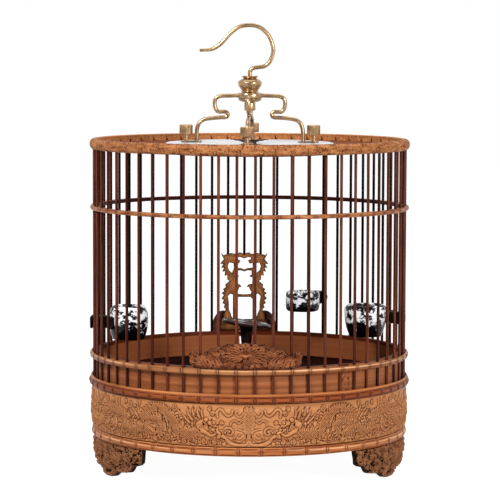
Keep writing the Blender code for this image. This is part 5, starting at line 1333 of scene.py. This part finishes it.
# Black-lacquered hardwood, buffed to a weak shine
black_lacquer, tree, shader, where = start("black_lacquered_wood")
buffed = add(tree, "TexNoise", {"Vector": where, "Scale": 400.0, "Detail": 3.0})
dull = add(tree, "MapRange", {0: buffed, 1: 0.3, 2: 0.7})
tone = add(tree, "Mix", {0: dull, 6: "060303", 7: "120907"}, 2, data_type="RGBA")
feed(tree, shader, {"Base Color": tone, "Specular IOR Level": 0.05,
                    "Roughness": add(tree, "MapRange", {0: buffed, 1: 0.3, 2: 0.7, 3: 0.3, 4: 0.45})})
for side, (radius, height, bottom, reach, bar, hold, grip) in DECK_CUPS.items():
    turn = bar_turn(bar) + math.pi / BAR_COUNT
    spot = spoke(turn, reach)
    line = flow(CUP_SHARES[side], 3)
    grid, _ = ring([(max(a, 0.0) * radius, bottom + u * height, 0) for a, u in line], columns=96)
    value = np.clip((grid[:, :, 2] - bottom) / height, 0, 1)
    inner = np.arange(len(line)) < len(line) * 0.4
    value[inner] = np.maximum(value[inner], 0.7)
    cup = laid(surface(grid, False, True, value), Matrix.Translation(spot))
    settle("cup_" + side + "_glazed", cup, ink_porcelain, "cage", ["cup_" + side], 60)

    # Its holder: a saddle round the cup on a neck, a plate inside two bars and a long nut outside them
    grip = math.radians(grip)
    saddle = radius + SADDLE_GAP
    back = saddle + SADDLE_THICKNESS
    clamp = CLAMP_FACE - reach
    lean = math.asin(HOLDER_NECK / back)
    inside = [(saddle * math.sin(a), saddle * math.cos(a)) for a in np.linspace(-grip, grip, 25)]
    wing = [(back * math.sin(a), back * math.cos(a)) for a in np.linspace(grip, lean, 10)]
    wing += [(HOLDER_NECK, clamp - CLAMP_ROOT), (HOLDER_HALF_WIDTH, clamp - CLAMP_THICKNESS),
             (HOLDER_HALF_WIDTH, clamp)]
    loop = inside + wing + [(-x, y) for x, y in reversed(wing)]
    outward = Matrix.Rotation(turn, 4, "Z") @ Matrix.Rotation(math.pi, 4, "Z")
    clasp = sawn([loop], HOLDER_HEIGHT, cell=0.003, edge=0.0009)
    clasp = laid(clasp, Matrix.Translation((*spot[:2], hold)) @ outward)
    stem = [(*(spoke(turn) * r + Vector((0, 0, hold))), STEM_RADIUS)
            for r in (CLAMP_FACE - 0.0015, NUT_FACE + 0.0016)]
    settle("holder_" + side, joined([clasp, tube(stem, 24)]), black_lacquer, "cage",
           ["cup_holder_" + side], 50)
    tip = HOLDER_HEIGHT / 2
    middle = HOLDER_HALF_WIDTH - tip
    end = [(middle + tip * math.cos(a), tip * math.sin(a))
           for a in np.linspace(-math.pi / 2, math.pi / 2, 17)]
    nut = sawn([end + [(-x, -y) for x, y in end]], CLAMP_NUT, cell=0.003, edge=0.0012)
    stand = Matrix.Rotation(turn, 4, "Z") @ Matrix.Translation((0, -NUT_FACE - CLAMP_NUT / 2, hold))
    nut = laid(nut, stand @ Matrix.Rotation(math.pi / 2, 4, "X"))
    settle("holder_nut_" + side + "_buffed", nut, black_lacquer, "cage", ["holder_nut_" + side], 50)

# Stage: a round slab of polished ebony on a post turned from the same wood, which stands on the floor.
# The slab has tilted down to the right.
SLAB_LEVEL = 0.1475
SLAB_RADIUS = 0.0253
SLAB_THICKNESS = 0.003
SLAB_TILT = math.radians(7.6)
STAGE_X = -0.003
POST_BOTTOM = 0.0963
POST_RADIUS = 0.014
POST_LINE = [(0.0, 1.0), (0.50, 1.0), (0.495, 0.95), (0.46, 0.88), (0.42, 0.76), (0.39, 0.66),
             (0.37, 0.60), (0.40, 0.585), (0.41, 0.56), (0.37, 0.545), (0.34, 0.48), (0.33, 0.36),
             (0.35, 0.27), (0.44, 0.19), (0.62, 0.13), (0.80, 0.10), (0.97, 0.075), (1.0, 0.06),
             (1.0, 0.01), (0.98, 0.0), (0.0, 0.0)]
# Polished ebony: nearly black, with fine streaks along x
polished_ebony, tree, shader, where = start("polished_ebony")
stretched = add(tree, "Mapping", {"Vector": where, "Scale": (60.0, 400.0, 400.0)})
grain = add(tree, "TexNoise", {"Vector": stretched, "Scale": 1.0, "Detail": 4.0})
streaked = add(tree, "MapRange", {0: grain, 1: 0.35, 2: 0.7})
tone = add(tree, "Mix", {0: streaked, 6: "100406", 7: "2C1612"}, 2, data_type="RGBA")
# Its polish is worn in patches
patches = add(tree, "TexNoise", {"Vector": where, "Scale": 110.0, "Detail": 1.0})
feed(tree, shader, {"Base Color": tone, "Specular IOR Level": 0.065,
                    "Roughness": add(tree, "MapRange", {0: patches, 1: 0.42, 2: 0.58, 3: 0.12, 4: 0.6})})
half = SLAB_THICKNESS / 2
slab_rows = [(0.0, half, 0), (SLAB_RADIUS * 0.6, half, 0), (SLAB_RADIUS - 0.0012, half, 0),
             (SLAB_RADIUS - 0.0004, half - 0.0004, 0), (SLAB_RADIUS, 0.0003, 0), (SLAB_RADIUS, -0.0003, 0),
             (SLAB_RADIUS - 0.0004, -half + 0.0004, 0), (SLAB_RADIUS - 0.0012, -half, 0), (0.0, -half, 0)]
grid, _ = ring(slab_rows, columns=96)
slab = laid(surface(grid, False, True),
            Matrix.Translation((STAGE_X, 0, SLAB_LEVEL)) @ Matrix.Rotation(SLAB_TILT, 4, "Y"))
settle("stage_slab_polished", slab, polished_ebony, "cage", ["stage_slab"])
grid = turned(POST_LINE, POST_RADIUS, 0.0, 1.0, 64)
top = SLAB_LEVEL - POST_BOTTOM - half - 0.0004
grid[:, :, 2] = POST_BOTTOM + grid[:, :, 2] * (top - grid[:, :, 0] * math.tan(SLAB_TILT) * grid[:, :, 2] ** 4)
grid[:, :, 0] += STAGE_X
settle("stage_post_turned", surface(grid, False, True), polished_ebony, "cage", ["stage_post"])

# Photo set-up: a white sweep, a soft even light from all round with a key from the front left, and the
# camera a little above the middle of the cage.
bm = bmesh.new()
bmesh.ops.create_grid(bm, x_segments=2, y_segments=2, size=6.0)
ground = bpy.data.objects.new("white_ground", made(bm))
bpy.context.scene.collection.objects.link(ground)


def backdrop_seen(tree):
    """One for the rays that see the white backdrop: the camera's own, and those off or through gloss."""
    rays = add(tree, "LightPath").node.outputs
    sent_on = {0: rays["Is Glossy Ray"], 1: rays["Is Transmission Ray"]}
    sent_on = add(tree, "Math", sent_on, operation="MAXIMUM")
    return add(tree, "Math", {0: rays["Is Camera Ray"], 1: sent_on}, operation="MAXIMUM")


# White paper, lit past white for the camera but for the cage's soft shadow
white_paper, tree, shader, where = start("white_paper")
fibre = add(tree, "TexNoise", {"Vector": where, "Scale": 400.0})
fibre = add(tree, "Mix", {0: fibre, 6: "D2D2D2", 7: "CECECE"}, 2, data_type="RGBA")
paper = add(tree, "BsdfDiffuse", {"Color": fibre})
shade = add(tree, "BsdfDiffuse", {"Color": (0.2, 0.2, 0.2, 1.0)})
glow = add(tree, "Emission", {"Color": (1.0, 1.0, 1.0, 1.0), "Strength": 0.97})
bright = add(tree, "AddShader", {0: shade, 1: glow})
pick = add(tree, "MixShader", {0: backdrop_seen(tree), 1: paper, 2: bright})
tree.links.new(pick, tree.nodes["Material Output"].inputs["Surface"])
tree.nodes.remove(shader)
ground.data.materials.append(white_paper)

# The light from all round: a white studio
world = bpy.data.worlds.new("white_studio")
bpy.context.scene.world = world
world.use_nodes = True
tree = world.node_tree
tree.nodes.clear()
# The white backdrop stands behind the cage, and the room on the camera's side is darker
behind = add(tree, "SeparateXYZ", {0: add(tree, "TexCoord")}, 1)
dimmed = add(tree, "MapRange", {0: behind, 1: -0.4, 2: 0.6, 3: 0.20, 4: 0.60})
soft = add(tree, "Background", {"Color": (1.0, 1.0, 1.0, 1.0), "Strength": dimmed})
lit = add(tree, "MapRange", {0: behind, 1: -0.5, 2: 0.2, 3: 0.30, 4: 1.0})
white = add(tree, "Background", {"Color": (1.0, 1.0, 1.0, 1.0), "Strength": lit})
add(tree, "OutputWorld", {0: add(tree, "MixShader", {0: backdrop_seen(tree), 1: soft, 2: white})})
# Three softboxes: where each stands, its width and its power in watts
for name, spot, size, power in (("key", (-1.2, -1.6, 1.7), 0.5, 53), ("fill", (1.5, -1.9, 0.9), 0.6, 44),
                                ("top", (0.0, 0.2, 2.0), 1.2, 9)):
    light = bpy.data.lights.new(name, "AREA")
    light.size = size
    light.energy = power
    lamp = bpy.data.objects.new(name, light)
    lamp.location = spot
    lamp.rotation_euler = (Vector((0, 0, 0.2)) - Vector(spot)).to_track_quat("-Z", "Y").to_euler()
    bpy.context.scene.collection.objects.link(lamp)

# A long lens two and a half metres in front; how far it looks down and is rolled, in degrees
CAMERA_LENS = 179.8
CAMERA_PLACE = (0.0006, -2.5834, 0.43935)
CAMERA_DOWN = 4.765
CAMERA_ROLL = 0.18
bpy.context.scene.view_settings.view_transform = "Standard"
lens = bpy.data.cameras.new("camera")
lens.lens = CAMERA_LENS
lens.sensor_width = 36.0
camera = bpy.data.objects.new("camera", lens)
camera.matrix_world = (Matrix.Translation(CAMERA_PLACE)
                       @ Matrix.Rotation(math.radians(90 - CAMERA_DOWN), 4, "X")
                       @ Matrix.Rotation(math.radians(CAMERA_ROLL), 4, "Z"))
bpy.context.scene.collection.objects.link(camera)
bpy.context.scene.camera = camera
